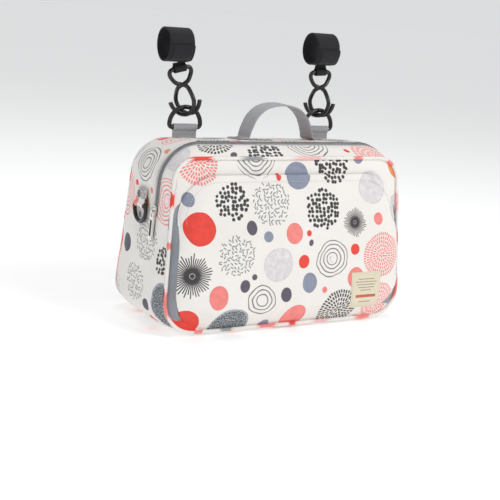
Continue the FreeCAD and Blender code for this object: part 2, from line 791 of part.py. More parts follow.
def handle_strap():
    """Arched webbing across x, as wide as the webbing in y, its ends rounded."""
    wall = dim("handle_wall")
    axis_z = strip_level(HANDLE_Y - HALF_WEB) + wall + HALF_WEB + HANDLE_CLEAR
    foot = axis_z - HALF_WEB
    rise = strip_level(HANDLE_Y) + dim("handle_rise") - foot
    shares = [(-across, up) for across, up in HANDLE_ARCH]
    shares += [(across, up) for across, up in reversed(HANDLE_ARCH[:-1])]

    def arch(inset):
        """Arch points and the curve through them."""
        points = [Vector(HANDLE_X + (HALF_SPAN - inset) * across, HANDLE_Y - HALF_WEB,
                         foot + (rise - inset) * up) for across, up in shares]
        curve = Part.BSplineCurve()
        curve.interpolate(points)
        return points, curve.toShape()

    outer, outer_edge = arch(0.0)
    inner, inner_edge = arch(wall)
    edges = [outer_edge, Part.makeLine(outer[-1], inner[-1]),
             inner_edge, Part.makeLine(inner[0], outer[0])]
    face = Part.Face(Part.Wire(Part.__sortEdges__(edges)))
    solid = face.extrude(Vector(0, 2 * HALF_WEB, 0))
    # below axis_z the ends are trimmed to a half round about an axis along x
    zone = Part.makeCylinder(HALF_WEB, 300, Vector(-150 + HANDLE_X, HANDLE_Y, axis_z),
                             AXIS_X).fuse(layer(axis_z, BIG))
    solid_feature("handle_strap", solid.common(zone))


def handle_feet():
    """Sewn feet lying on the sloping rear top strip."""
    fall = dim("crest_height") - dim("rear_height")
    turn = Rotation(AXIS_X, -math.degrees(math.atan2(fall, dim("rear_y_top") - ZIP)))
    for side, sign in SIDES:
        middle = Vector(HANDLE_X + sign * (HALF_SPAN + FOOT_OUTSET), HANDLE_Y,
                        strip_level(HANDLE_Y))
        corner = middle + turn.multVec(Vector(0, -HALF_WEB, GAP))
        flat_plate("handle_foot_" + side, "sheet.foot_length", "sheet.handle_width",
                   "sheet.handle_wall", Placement(corner, turn), "1.0")


handle_strap()
handle_feet()


# ---------------------------------------------------------------- zip slider and pull
# Both sit on the left side of the bag, at the zip end.
# Local frame: z up the side, x outward, y toward the front.

SLIDER_MID = FOLD + 1.2 + dim("slider_length") / 2
SLIDER_TURN = Rotation(AXIS_Y, SIDE_LEAN).multiply(Rotation(AXIS_Z, 180))
SLIDER_PLACE = Placement(Vector(-side_x(SLIDER_MID), ZIP, SLIDER_MID), SLIDER_TURN)
PLATE_FOOT = 0.4            # underside of the top plate, off the gusset face
LOW_PLATE = 1.2             # thickness of the inner plate
BAIL_ROD = 0.9
BAIL_FOOT_X = 0.6           # both ends of the bail
BAIL_HIGH, BAIL_LOW = 3.2, -3.8
PULL_PIVOT = Vector(3.35, 0, -1.6)      # in the slider's frame
WINDOW_FOOT = 5.0           # pull window above the pull's lower end


def slider_bail():
    """Bent rod that stands off the top plate."""
    high = Vector(3.6, 0, BAIL_HIGH)
    outer = Vector(5.2, 0, -1.0)
    low = Vector(3.4, 0, BAIL_LOW)
    start = Vector(BAIL_FOOT_X, 0, BAIL_HIGH)
    path = Part.Wire([
        Part.makeLine(start, high),
        Part.Arc(high, Vector(5.0, 0, 1.0), outer).toShape(),
        Part.Arc(outer, Vector(4.6, 0, -3.0), low).toShape(),
        Part.makeLine(low, Vector(BAIL_FOOT_X, 0, BAIL_LOW)),
    ])
    return round_rod(path, BAIL_ROD, start, AXIS_X, transition=2)


def zip_slider():
    """Plates outside and inside the zip, joined by a post, with the bail on the outside."""
    length, width = dim("slider_length"), dim("slider_width")
    inner_face = -TAPE_INSETS[1] - 0.4
    top = Part.makeBox(dim("slider_plate"), width, length,
                       Vector(PLATE_FOOT, -width / 2, -length / 2))
    top = top.makeFillet(2.0, [edge for edge in top.Edges if along(edge, AXIS_X)])
    low = Part.makeBox(LOW_PLATE, width - 1.0, length,
                       Vector(inner_face - LOW_PLATE, -width / 2 + 0.5, -length / 2))
    low = low.makeFillet(1.6, [edge for edge in low.Edges if along(edge, AXIS_X)])
    post = Part.makeBox(PLATE_FOOT - inner_face + 0.8, 0.9, 4.0,
                        Vector(inner_face - 0.6, -0.45, -length / 2 + 0.6))
    shape = top.fuse([low, post, slider_bail()]).removeSplitter()
    solid_feature("zipper_slider", shape, SLIDER_PLACE)


def zip_pull():
    """Slim frame whose top bar runs inside the bail, with an inlay in its window."""
    length, width, wall = dim("pull_length"), dim("pull_width"), dim("pull_wall")
    place = Placement(SLIDER_PLACE.multVec(PULL_PIVOT), SLIDER_TURN)

    def centred_box(size_x, size_y, size_z, low_z):
        return Part.makeBox(size_x, size_y, size_z, Vector(-size_x / 2, -size_y / 2, low_z))

    def bar(radius):
        return Part.makeCylinder(radius, width, Vector(0, -width / 2, 0), AXIS_Y)

    frame = centred_box(wall, width, length - 1.0, -length)
    frame = frame.makeFillet(1.8, [edge for edge in frame.Edges
                                   if along(edge, AXIS_X) and edge.CenterOfMass.z < -length / 2])
    arms = centred_box(wall, width, 1.2, -1.2).fuse(bar(wall / 2))
    slot = centred_box(wall + 2, 3.2, 8.0, -6.4)
    window = centred_box(wall + 2, width - 3.0, length - 15.0, -length + WINDOW_FOOT)
    shape = frame.fuse(arms).cut([slot, window]).fuse(bar(0.75)).removeSplitter()
    solid_feature("zipper_pull", shape, place)
    # 0.1 clear of the window all round
    inlay = centred_box(wall - 0.6, width - 3.2, length - 15.2, -length + WINDOW_FOOT + 0.1)
    solid_feature("zipper_pull_inlay", inlay, place)


zip_slider()
zip_pull()


# ---------------------------------------------------------------- export

doc.recompute()
bad = [obj.Name for obj in doc.Objects if "Invalid" in obj.State or "Error" in obj.State]
if bad:
    raise SystemExit("failed objects: " + ", ".join(bad))
os.makedirs("parts", exist_ok=True)
for obj in PARTS:
    shape = obj.Shape
    if shape.isNull() or not shape.isValid() or not shape.Solids:
        raise SystemExit("bad shape: " + obj.Label)
    shape.exportStep("parts/%s.step" % obj.Label)
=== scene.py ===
"""A printed stroller bag with a zipped top, front pocket, grab handle, rings and bar straps.

The bag stands on z = 0. x runs across it (right is +x), the front faces -y and z is up.
Sizes are in millimetres. Objects are made in metres.
"""
import bmesh
import bpy
import json
import math
import numpy as np
from collections import namedtuple
from mathutils import Vector, Matrix, noise

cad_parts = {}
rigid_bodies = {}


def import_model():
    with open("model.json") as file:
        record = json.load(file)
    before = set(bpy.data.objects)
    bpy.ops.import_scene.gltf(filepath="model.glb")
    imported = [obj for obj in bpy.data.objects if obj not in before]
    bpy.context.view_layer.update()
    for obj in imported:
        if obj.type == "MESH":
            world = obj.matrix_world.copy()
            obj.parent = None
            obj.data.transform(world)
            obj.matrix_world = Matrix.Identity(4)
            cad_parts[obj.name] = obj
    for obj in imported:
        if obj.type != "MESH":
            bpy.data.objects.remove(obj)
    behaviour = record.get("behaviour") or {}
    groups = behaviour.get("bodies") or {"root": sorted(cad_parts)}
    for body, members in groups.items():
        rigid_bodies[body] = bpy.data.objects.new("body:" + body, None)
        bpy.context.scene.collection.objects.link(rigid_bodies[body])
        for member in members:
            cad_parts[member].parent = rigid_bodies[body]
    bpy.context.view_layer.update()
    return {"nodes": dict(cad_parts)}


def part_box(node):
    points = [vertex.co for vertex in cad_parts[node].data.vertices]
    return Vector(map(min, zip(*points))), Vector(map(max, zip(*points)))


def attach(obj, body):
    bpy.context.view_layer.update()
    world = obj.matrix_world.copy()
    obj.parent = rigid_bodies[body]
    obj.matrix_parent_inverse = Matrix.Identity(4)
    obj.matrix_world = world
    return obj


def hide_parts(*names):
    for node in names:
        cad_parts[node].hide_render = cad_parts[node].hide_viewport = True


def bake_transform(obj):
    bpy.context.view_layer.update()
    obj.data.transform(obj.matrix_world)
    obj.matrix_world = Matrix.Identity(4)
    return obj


for old in list(bpy.data.objects):          # the startup file's cube, lamp and camera
    bpy.data.objects.remove(old)
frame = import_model()
MM = 0.001

# ------------------------------------------------------------------ driving sizes
SEAM_BOTTOM, SEAM_TOP = 342.0, 318.0       # widths of the front and rear seams
CREST_BOTTOM, CREST_TOP = 346.0, 322.0     # widths in the plane of the zip
FRONT_HEIGHT, REAR_HEIGHT, CREST_HEIGHT = 208.0, 214.0, 222.0
FRONT_FOOT_Y, FRONT_HEAD_Y = -70.0, -50.0
REAR_FOOT_Y, REAR_HEAD_Y = 76.0, 56.0
ZIP_Y = -26.0
FOLD = 134.0                               # level where the front flap folds
MIDDLE = np.array([0.0, 0.0, 105.0])       # a point inside the bag

# points on half a loop: base, corner, side below and above the fold, corner, top
LOOP_COUNTS = (54, 18, 36, 16, 22, 52)
TOP_STATION = sum(LOOP_COUNTS)
STATIONS = 2 * TOP_STATION
FOLD_STATION = sum(LOOP_COUNTS[:3])        # on the right; STATIONS - FOLD_STATION on the left
COLS = 126
ROWS = TOP_STATION - COLS

# the two bodies a cloth fold lies between and the ends of its blend in metres, as data only: cloth
# given one of these stays fixed where it is made
FLAP_FOLD = ("root", "front_flap", (0, -0.026, 0.134), (0, -0.047, 0.1485))
POCKET_FOLD = ("front_flap", "pocket_front", (0, -0.070, 0.1345), (0, -0.0665, 0.152))
BELLOWS_FOLD = ("front_flap", "pocket_front", (0, -0.060, 0.133), (0, -0.069, 0.150))
HANDLE_FOLD = ("root", "handle", (0.013, 0.014, 0.2232), (0.013, 0.014, 0.2378))


def declare(ob, slot, motion, *replaced):
    if replaced:
        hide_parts(*replaced)
    if isinstance(motion, str):
        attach(ob, motion)
    else:
        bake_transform(ob)


# ------------------------------------------------------------------ numbers and curves
def ramp(start, end, x):
    t = np.clip((x - start) / (end - start), 0, 1)
    return t * t * (3 - 2 * t)


def unit(v):
    return v / np.maximum(np.linalg.norm(v, axis=-1, keepdims=True), 1e-9)


def fbm(points, scale, seed, stretch=(1, 1, 1)):
    """Fractal noise at points with two or three columns."""
    columns = points.shape[-1]
    flat = np.zeros((points[..., 0].size, 3))
    flat[:, :columns] = points.reshape(-1, columns)
    flat *= stretch
    out = [noise.fractal(Vector((x / scale + seed, y / scale + seed * 1.7, z / scale - seed)),
                         1.0, 2.0, 3) for x, y, z in flat]
    return np.array(out).reshape(points.shape[:-1])


def run_length(path):
    steps = np.linalg.norm(np.diff(path, axis=0), axis=1)
    return np.concatenate([[0], np.cumsum(steps)])


def at_length(lengths, path, where):
    return np.array([np.interp(where, lengths, path[:, c]) for c in range(3)])


def smooth_path(path, times):
    path = path.copy()
    for _ in range(times):
        path[1:-1] = 0.5 * path[1:-1] + 0.25 * (path[:-2] + path[2:])
    return path


def smooth_closed(path, times):
    for _ in range(times):
        path = 0.5 * path + 0.25 * (np.roll(path, 1, 0) + np.roll(path, -1, 0))
    return path


def catmull(points, per=7):
    """Catmull-Rom curve through the points, with so many steps to a span."""
    out = []
    q = np.vstack([2 * points[0] - points[1], points, 2 * points[-1] - points[-2]])
    for i in range(1, len(q) - 2):
        a0, a1, a2, a3 = q[i - 1:i + 3]
        for k in range(per):
            t = k / per
            out.append(0.5 * (2 * a1 + (a2 - a0) * t + (2 * a0 - 5 * a1 + 4 * a2 - a3) * t * t
                              + (3 * a1 - a0 - 3 * a2 + a3) * t ** 3))
    out.append(points[-1])
    return np.array(out)


def line(start, end, steps):
    t = np.linspace(0, 1, steps + 1)[:, None]
    return start + (end - start) * t


def arc(centre, start, end, steps):
    """Counter-clockwise arc."""
    a0 = math.atan2(*(start - centre)[::-1])
    a1 = math.atan2(*(end - centre)[::-1])
    if a1 < a0:
        a1 += 2 * math.pi
    r = np.linalg.norm(start - centre)
    a = np.linspace(a0, a1, steps + 1)
    return np.stack([centre[0] + r * np.cos(a), centre[1] + r * np.sin(a)], -1)


def fillet(before, corner, after, radius):
    """Start, end and centre of the arc that rounds a corner."""
    u = unit(before - corner)
    v = unit(after - corner)
    half = math.acos(np.clip(u @ v, -1, 1)) / 2
    back = radius / math.tan(half)
    return corner + u * back, corner + v * back, corner + unit(u + v) * (radius / math.sin(half))


def rounded_trapezoid(half_bottom, low, half_top, high, radius_bottom, radius_top, split):
    """Closed loop (x, s), counter-clockwise from the bottom middle, not repeating its start.

    Each side has a point at the level split."""
    corners = [np.array(p) for p in ((-half_bottom, low), (half_bottom, low),
                                     (half_top, high), (-half_top, high))]
    start1, end1, centre1 = fillet(*corners[:3], radius_bottom)
    start2, end2, centre2 = fillet(*corners[1:], radius_top)
    middle = end1 + (start2 - end1) * ((split - end1[1]) / (start2[1] - end1[1]))
    base, low_corner, side_low, side_high, high_corner, top = LOOP_COUNTS
    runs = [line(np.array([0.0, low]), start1, base), arc(centre1, start1, end1, low_corner),
            line(end1, middle, side_low), line(middle, start2, side_high),
            arc(centre2, start2, end2, high_corner), line(end2, np.array([0.0, high]), top)]
    half = np.vstack([run[:-1] for run in runs[:-1]] + [runs[-1]])
    return np.vstack([half, half[::-1][1:-1] * np.array([-1, 1])])


class Wall:
    """A flat leaning outline across the bag. s is the distance up its slope from the foot,
    and facing is the sign of y on its outer side."""

    def __init__(self, widths, height, foot_y, head_y, facing, radii):
        self.widths, self.foot_y, self.facing, self.radii = widths, foot_y, facing, radii
        lean = math.atan2(head_y - foot_y, height)
        self.cos, self.sin = math.cos(lean), math.sin(lean)
        self.run = height / self.cos
        self.slope = (widths[0] - widths[1]) / 2 / self.run

    def half_width(self, s, inset):
        return self.widths[0] / 2 - self.slope * s - inset * math.sqrt(1 + self.slope ** 2)

    def outline(self, inset, low=None, high=None, radii=None):
        """Loop (x, s) that lies inset from the seam, or between given levels."""
        low = inset if low is None else low
        high = self.run - inset if high is None else high
        radii = radii or [r - inset for r in self.radii]
        return rounded_trapezoid(self.half_width(low, inset), low, self.half_width(high, inset),
                                 high, *radii, FOLD / self.cos)

    def point(self, x, s, lift):
        return np.stack([x, self.foot_y + s * self.sin + self.facing * lift * self.cos,
                         s * self.cos - self.facing * lift * self.sin], -1)

    def loop(self, inset=0.0, lift=0.0):
        outline = self.outline(inset)
        return self.point(outline[:, 0], outline[:, 1], lift)


# corner radii are (bottom, top)
FRONT = Wall((SEAM_BOTTOM, SEAM_TOP), FRONT_HEIGHT, FRONT_FOOT_Y, FRONT_HEAD_Y, -1, (40, 32))
REAR = Wall((SEAM_BOTTOM, SEAM_TOP), REAR_HEIGHT, REAR_FOOT_Y, REAR_HEAD_Y, 1, (30, 42))
CREST = Wall((CREST_BOTTOM, CREST_TOP), CREST_HEIGHT, ZIP_Y, ZIP_Y, 1, (32, 52))


def fill_outline(loop):
    """Coons grid of COLS by ROWS over a closed loop, with its corners at the corner middles."""
    ring = np.roll(loop, COLS // 2, 0)       # start at the bottom left corner middle
    bottom = ring[0:COLS + 1]
    right = ring[COLS:COLS + ROWS + 1]
    top = ring[COLS + ROWS:2 * COLS + ROWS + 1][::-1]
    left = np.vstack([ring[2 * COLS + ROWS:], ring[:1]])[::-1]
    u = np.linspace(0, 1, COLS + 1)[:, None, None]
    v = np.linspace(0, 1, ROWS + 1)[None, :, None]
    grid = (1 - v) * bottom[:, None] + v * top[:, None] + (1 - u) * left[None] + u * right[None]
    return grid - ((1 - u) * (1 - v) * bottom[0] + u * (1 - v) * bottom[-1]
                   + (1 - u) * v * top[0] + u * v * top[-1])


def edge_distance(grid, loop):
    """Distance from grid points (x, s) to a closed loop, and the nearest side of the loop."""
    points = grid.reshape(-1, 2)
    distance = np.empty(len(points))
    nearest = np.empty(len(points), int)
    sides = np.roll(loop, -1, 0) - loop
    squared = (sides ** 2).sum(1)
    chunk = 2000                             # keeps the table of pairs small
    for i in range(0, len(points), chunk):
        p = points[i:i + chunk, None]
        t = np.clip(((p - loop[None]) * sides[None]).sum(-1) / squared, 0, 1)
        apart = np.linalg.norm(p - (loop[None] + sides[None] * t[..., None]), axis=-1)
        nearest[i:i + chunk] = apart.argmin(1)
        distance[i:i + chunk] = apart.min(1)
    return distance.reshape(grid.shape[:-1]), nearest.reshape(grid.shape[:-1])


# ------------------------------------------------------------------ meshes
def make_object(name, verts, faces):
    me = bpy.data.meshes.new(name)
    me.from_pydata([tuple(v) for v in (np.asarray(verts) * MM)], [],
                   [tuple(int(i) for i in f) for f in faces])
    me.update()
    me.polygons.foreach_set("use_smooth", [True] * len(me.polygons))
    ob = bpy.data.objects.new(name, me)
    bpy.context.scene.collection.objects.link(ob)
    return ob


def add_attribute(ob, name, domain, values):
    attribute = ob.data.attributes.new(name, "FLOAT_VECTOR", domain)
    attribute.data.foreach_set("vector", np.asarray(values, np.float32).ravel())


def set_fabric(ob, uv):
    """Store each point's place on the flat cloth, in millimetres."""
    flat = np.asarray(uv).reshape(-1, 2)
    add_attribute(ob, "fabric", "POINT", np.column_stack([flat, np.zeros(len(flat))]))


def read_fabric(ob):
    values = np.zeros(len(ob.data.vertices) * 3)
    ob.data.attributes["fabric"].data.foreach_get("vector", values)
    return values.reshape(-1, 3)


def grid_normals(grid, closed=False):
    du = np.roll(grid, -1, 0) - np.roll(grid, 1, 0) if closed else np.gradient(grid, axis=0)
    return unit(np.cross(du, np.gradient(grid, axis=1)))


def outward_normals(grid, inside=MIDDLE, closed=False):
    """Normals that point away from a place, and whether they had to be turned."""
    normals = grid_normals(grid, closed)
    turned = bool(((grid - inside) * normals).sum() < 0)
    return (-normals if turned else normals), turned


def sheet(name, outer, uv, thickness, materials=(), inside=MIDDLE):
    """Closed thin solid. The grid outer faces away from inside; the other face lies behind it.

    With two materials the second goes on the inner face."""
    nu, nv = outer.shape[:2]
    normals, turned = outward_normals(outer, inside)
    inner = outer - normals * thickness
    # the rim is rounded: a middle layer on the border stands a quarter thickness proud
    proud = np.zeros_like(outer)
    proud[:, 0] += unit(outer[:, 0] - outer[:, 1])
    proud[:, -1] += unit(outer[:, -1] - outer[:, -2])
    proud[0] += unit(outer[0] - outer[1])
    proud[-1] += unit(outer[-1] - outer[-2])
    middle = (outer + inner) / 2 + proud * thickness * 0.25

    count = nu * nv
    idx = np.arange(count).reshape(nu, nv)
    quads = np.stack([idx[:-1, :-1], idx[1:, :-1], idx[1:, 1:], idx[:-1, 1:]], -1).reshape(-1, 4)
    border = np.concatenate([idx[:, 0], idx[-1, 1:], idx[::-1, -1][1:], idx[0, ::-1][1:-1]])
    after = np.roll(border, -1)
    rim = 2 * count + np.arange(len(border))
    rim_after = np.roll(rim, -1)
    rim_quads = np.stack([np.stack([after, border, rim, rim_after], -1),
                          np.stack([rim_after, rim, border + count, after + count], -1)],
                         1).reshape(-1, 4)
    if turned:
        quads, rim_quads = quads[:, ::-1], rim_quads[:, ::-1]
    verts = np.vstack([outer.reshape(-1, 3), inner.reshape(-1, 3), middle.reshape(-1, 3)[border]])
    ob = make_object(name, verts, np.vstack([quads, quads[:, ::-1] + count, rim_quads]))
    ob.data.set_sharp_from_angle(angle=math.radians(42))
    flat = uv.reshape(-1, 2)
    set_fabric(ob, np.vstack([flat, flat, flat[border]]))
    for material in materials:
        ob.data.materials.append(material)
    if len(materials) > 1:
        index = np.repeat([0, 1, 0], [len(quads), len(quads), len(rim_quads)])
        ob.data.polygons.foreach_set("material_index", index.astype(np.int32))
    return ob


def rod_faces(rings, sides, base=0, closed=False):
    """Quads between rings of points, with end caps unless the rod is closed."""
    idx = base + np.arange(rings * sides).reshape(rings, sides)
    near = idx if closed else idx[:-1]
    far = np.roll(idx, -1, 0) if closed else idx[1:]
    quads = np.stack([near, np.roll(near, -1, 1), np.roll(far, -1, 1), far], -1)
    faces = quads.reshape(-1, 4).tolist()
    return faces if closed else faces + [idx[0, ::-1].tolist(), idx[-1].tolist()]


def closed_tube(name, path, radius, sides):
    """Round cord along a closed path that starts out level; one radius for each point."""
    n = len(path)
    tangents = unit(np.roll(path, -1, 0) - np.roll(path, 1, 0))
    frames = [unit(np.cross(tangents[0], np.array([0.0, 0.0, 1.0])))]
    for tangent in tangents[1:]:
        frames.append(unit(frames[-1] - tangent * (frames[-1] @ tangent)))
    frames = np.array(frames)
    # spread the twist left at the end over the whole length
    end = unit(frames[-1] - tangents[0] * (frames[-1] @ tangents[0]))
    twist = math.atan2(np.cross(end, frames[0]) @ tangents[0], end @ frames[0])
    turn = (twist * np.arange(n) / n)[:, None]
    frames = frames * np.cos(turn) + np.cross(tangents, frames) * np.sin(turn)
    sideways = np.cross(tangents, frames)
    angle = np.arange(sides) * 2 * math.pi / sides
    ring = (frames[:, None] * np.cos(angle)[None, :, None]
            + sideways[:, None] * np.sin(angle)[None, :, None])
    verts = (path[:, None] + ring * radius[:, None, None]).reshape(-1, 3)
    ob = make_object(name, verts, rod_faces(n, sides, closed=True))
    along = np.broadcast_to(run_length(path)[:, None], (n, sides))
    set_fabric(ob, np.stack([angle[None] * radius[:, None], along], -1))
    return ob


def joined(name, objs):
    """One mesh from several; attributes with the same name are kept."""
    bpy.ops.object.select_all(action="DESELECT")
    for o in objs:
        o.select_set(True)
    bpy.context.view_layer.objects.active = objs[0]
    bpy.ops.object.join()
    objs[0].name = name
    objs[0].data.name = name
    return objs[0]


# along a stitch: share of its length, share of its width, height in widths
STITCH_PROFILE = ((0.0, 0.0, -0.35), (0.12, 0.72, -0.05), (0.5, 1.0, 0.32),
                  (0.88, 0.72, -0.05), (1.0, 0.0, -0.35))
STITCH_SIDES = 6


def stitches(name, path, normals, material, pitch, length, width, lift):
    """A row of thread stitches lying on a surface path."""
    lengths = run_length(path)
    angle = np.arange(STITCH_SIDES) * math.pi / 3
    cos, sin = np.cos(angle)[:, None], np.sin(angle)[:, None]
    verts, faces, uv = [], [], []
    for k in range(max(int(lengths[-1] / pitch), 1)):
        start = k * pitch + (pitch - length) / 2
        spine = [at_length(lengths, path, start + length * f) for f, _, _ in STITCH_PROFILE]
        normal = unit(at_length(lengths, normals, start + length / 2))
        side = np.cross(normal, unit(spine[-1] - spine[0]))
        faces += rod_faces(len(STITCH_PROFILE), STITCH_SIDES, len(verts))
        for (share, fat, height), p in zip(STITCH_PROFILE, spine):
            centre = p + normal * (lift + height * width)
            verts.extend(centre + (side * cos + normal * sin) * width * 0.5 * max(fat, 0.12))
            uv += [(a, share * length) for a in angle]
    ob = make_object(name, verts, faces)
    set_fabric(ob, uv)
    ob.data.materials.append(material)
    return ob


def box_stitch(name, centre, ux, uy, normal, half_w, half_h, material, lift=0.1):
    """A sewn rectangle with both diagonals."""
    q = [(-half_w, -half_h), (half_w, -half_h), (half_w, half_h), (-half_w, half_h)]
    segments = [(q[i], q[(i + 1) % 4]) for i in range(4)] + [(q[0], q[2]), (q[1], q[3])]
    t = np.linspace(0, 1, 12)[:, None]
    rows = []
    for a, b in segments:
        path = centre + (a[0] * (1 - t) + b[0] * t) * ux + (a[1] * (1 - t) + b[1] * t) * uy
        rows.append(stitches("stitch_row", path, np.broadcast_to(normal, path.shape), material,
                             pitch=2.6, length=1.8, width=0.45, lift=lift))
    return joined(name, rows)


def ribbon(name, path, across, width, thick, material, points_across):
    """Webbing: a flat section with rounded edges, its width along across, swept on a path."""
    tangents = unit(np.gradient(path, axis=0))
    normals = unit(np.cross(tangents, np.broadcast_to(across, path.shape)))
    sideways = np.cross(normals, tangents)
    half = thick / 2
    # section: share of the width, height, extra width of the round edge
    flat = np.linspace(-0.5, 0.5, points_across)
    edge = np.radians((-50, -20, 20, 50))
    section = np.array([(a, -half, 0) for a in flat]
                       + [(0.5, math.sin(k) * half, math.cos(k) * half * 0.8) for k in edge]
                       + [(a, half, 0) for a in flat[::-1]]
                       + [(-0.5, math.sin(k) * half, -math.cos(k) * half * 0.8)
                          for k in edge[::-1]])
    x = section[:, 0] * (width - thick * 0.8) + section[:, 2]
    verts = (path[:, None] + sideways[:, None] * x[None, :, None]
             + normals[:, None] * section[None, :, 1, None])
    ob = make_object(name, verts.reshape(-1, 3), rod_faces(len(path), len(section)))
    set_fabric(ob, np.stack(np.broadcast_arrays(x[None], run_length(path)[:, None]), -1))
    bm = bmesh.new()
    bm.from_mesh(ob.data)
    bmesh.ops.recalc_face_normals(bm, faces=bm.faces)
    bm.to_mesh(ob.data)
    bm.free()
    ob.data.materials.append(material)
    return ob


# ------------------------------------------------------------------ shader helpers
class Value:
    """A node output. Arithmetic and comparison on it add math nodes."""

    def __init__(self, graph, socket):
        self.graph, self.socket = graph, socket

    def __abs__(self):
        return self.graph.math("ABSOLUTE", self)


def operator(kind, swapped=False):
    def apply(self, other):
        return self.graph.math(kind, *((other, self) if swapped else (self, other)))
    return apply


for word, kind in (("add", "ADD"), ("sub", "SUBTRACT"), ("mul", "MULTIPLY"),
                   ("truediv", "DIVIDE")):
    setattr(Value, "__%s__" % word, operator(kind))
    setattr(Value, "__r%s__" % word, operator(kind, swapped=True))
Value.__lt__ = operator("LESS_THAN")
Value.__gt__ = operator("GREATER_THAN")


class Graph:
    """Adds nodes to a tree."""

    def __init__(self, tree):
        self.tree = tree

    def node(self, kind, **settings):
        node = self.tree.nodes.new(kind)
        for key, value in settings.items():
            setattr(node, key, value)
        return node

    def out(self, node, output=0):
        return Value(self, node.outputs[output])

    def feed(self, node, inputs):
        """Link or set inputs, given by name or number."""
        for key, value in inputs.items():
            if isinstance(value, Value):
                self.tree.links.new(value.socket, node.inputs[key])
            else:
                node.inputs[key].default_value = value

    def math(self, operation, *inputs, clamp=False):
        node = self.node("ShaderNodeMath", operation=operation, use_clamp=clamp)
        self.feed(node, dict(enumerate(inputs)))
        return self.out(node)

    def fract(self, a):
        return self.math("FRACT", a)

    def floor(self, a):
        return self.math("FLOOR", a)

    def sin(self, a):
        return self.math("SINE", a)

    def cos(self, a):
        return self.math("COSINE", a)

    def clamp(self, a):
        return self.math("ADD", a, 0.0, clamp=True)

    def scaled(self, a, factor, offset, clamp=True):
        return self.math("MULTIPLY_ADD", a, factor, offset, clamp=clamp)

    def soft(self, a, width):
        """1 where a > 0, with a soft edge of the given width."""
        return self.math("ADD", a / width, 0.5, clamp=True)

    def split(self, vector):
        node = self.node("ShaderNodeSeparateXYZ")
        self.feed(node, {0: vector})
        return [self.out(node, i) for i in range(3)]

    def combine(self, x, y, z=0.0):
        node = self.node("ShaderNodeCombineXYZ")
        self.feed(node, {0: x, 1: y, 2: z})
        return self.out(node)

    def scale(self, vector, factor):
        node = self.node("ShaderNodeVectorMath", operation="SCALE")
        self.feed(node, {0: vector, "Scale": factor})
        return self.out(node)

    def stretch(self, vector, factors):
        node = self.node("ShaderNodeVectorMath", operation="MULTIPLY")
        self.feed(node, {0: vector, 1: factors})
        return self.out(node)

    def noise(self, vector, scale, detail=2.0, rough=0.5):
        node = self.node("ShaderNodeTexNoise")
        self.feed(node, {"Vector": vector, "Scale": scale, "Detail": detail, "Roughness": rough})
        return self.out(node)

    def random(self, seed):
        node = self.node("ShaderNodeTexWhiteNoise", noise_dimensions="1D")
        self.feed(node, {"W": seed})
        return self.out(node, "Value")

    def mix(self, share, a, b, blend="MIX"):
        node = self.node("ShaderNodeMix", data_type="RGBA", blend_type=blend)
        self.feed(node, {0: share, 6: a, 7: b})
        return self.out(node, 2)

    def shaded(self, colour, tone):
        """Colour multiplied by a grey tone."""
        return self.mix(1.0, colour, self.combine(tone, tone, tone), "MULTIPLY")

    def attribute(self, name):
        return self.out(self.node("ShaderNodeAttribute", attribute_name=name), "Vector")

    def object_place(self):
        """Object coordinates in millimetres."""
        return self.scale(self.out(self.node("ShaderNodeTexCoord"), "Object"), 1000.0)

    def bump(self, height, strength, distance, normal=None):
        node = self.node("ShaderNodeBump")
        self.feed(node, {"Height": height, "Strength": strength, "Distance": distance})
        if normal is not None:
            self.feed(node, {"Normal": normal})
        return self.out(node)

    def weave(self, place, pitch):
        """Plain weave: threads over and under on a grid of the given pitch, 0 to 1."""
        x, y, _ = self.split(place)
        k = math.pi / pitch
        sin_x, sin_y = self.sin(x * k), self.sin(y * k)
        cos_x, cos_y = abs(self.cos(x * k)), abs(self.cos(y * k))
        over = self.scaled(sin_x * sin_y, 0.5, 0.5, clamp=False)
        return over * (1.0 - cos_x) + (1.0 - over) * (1.0 - cos_y)


def new_material(name):
    material = bpy.data.materials.new(name)
    material.use_nodes = True
    tree = material.node_tree
    return material, Graph(tree), tree.nodes["Principled BSDF"]


# ------------------------------------------------------------------ the printed cloth
# the patterns a disc can have; the shader also knows 8, a disc with fine rings
SOLID, POLKA, DASHES, RINGS, BURST, STIPPLE, STROKES, GRAINS = range(8)
PRINT_LAYERS = "abcd"
# C: centre and turn; R: radii and pattern; A, B: colours; K: count, pitch, band
DISC_KEYS = "CRABK"


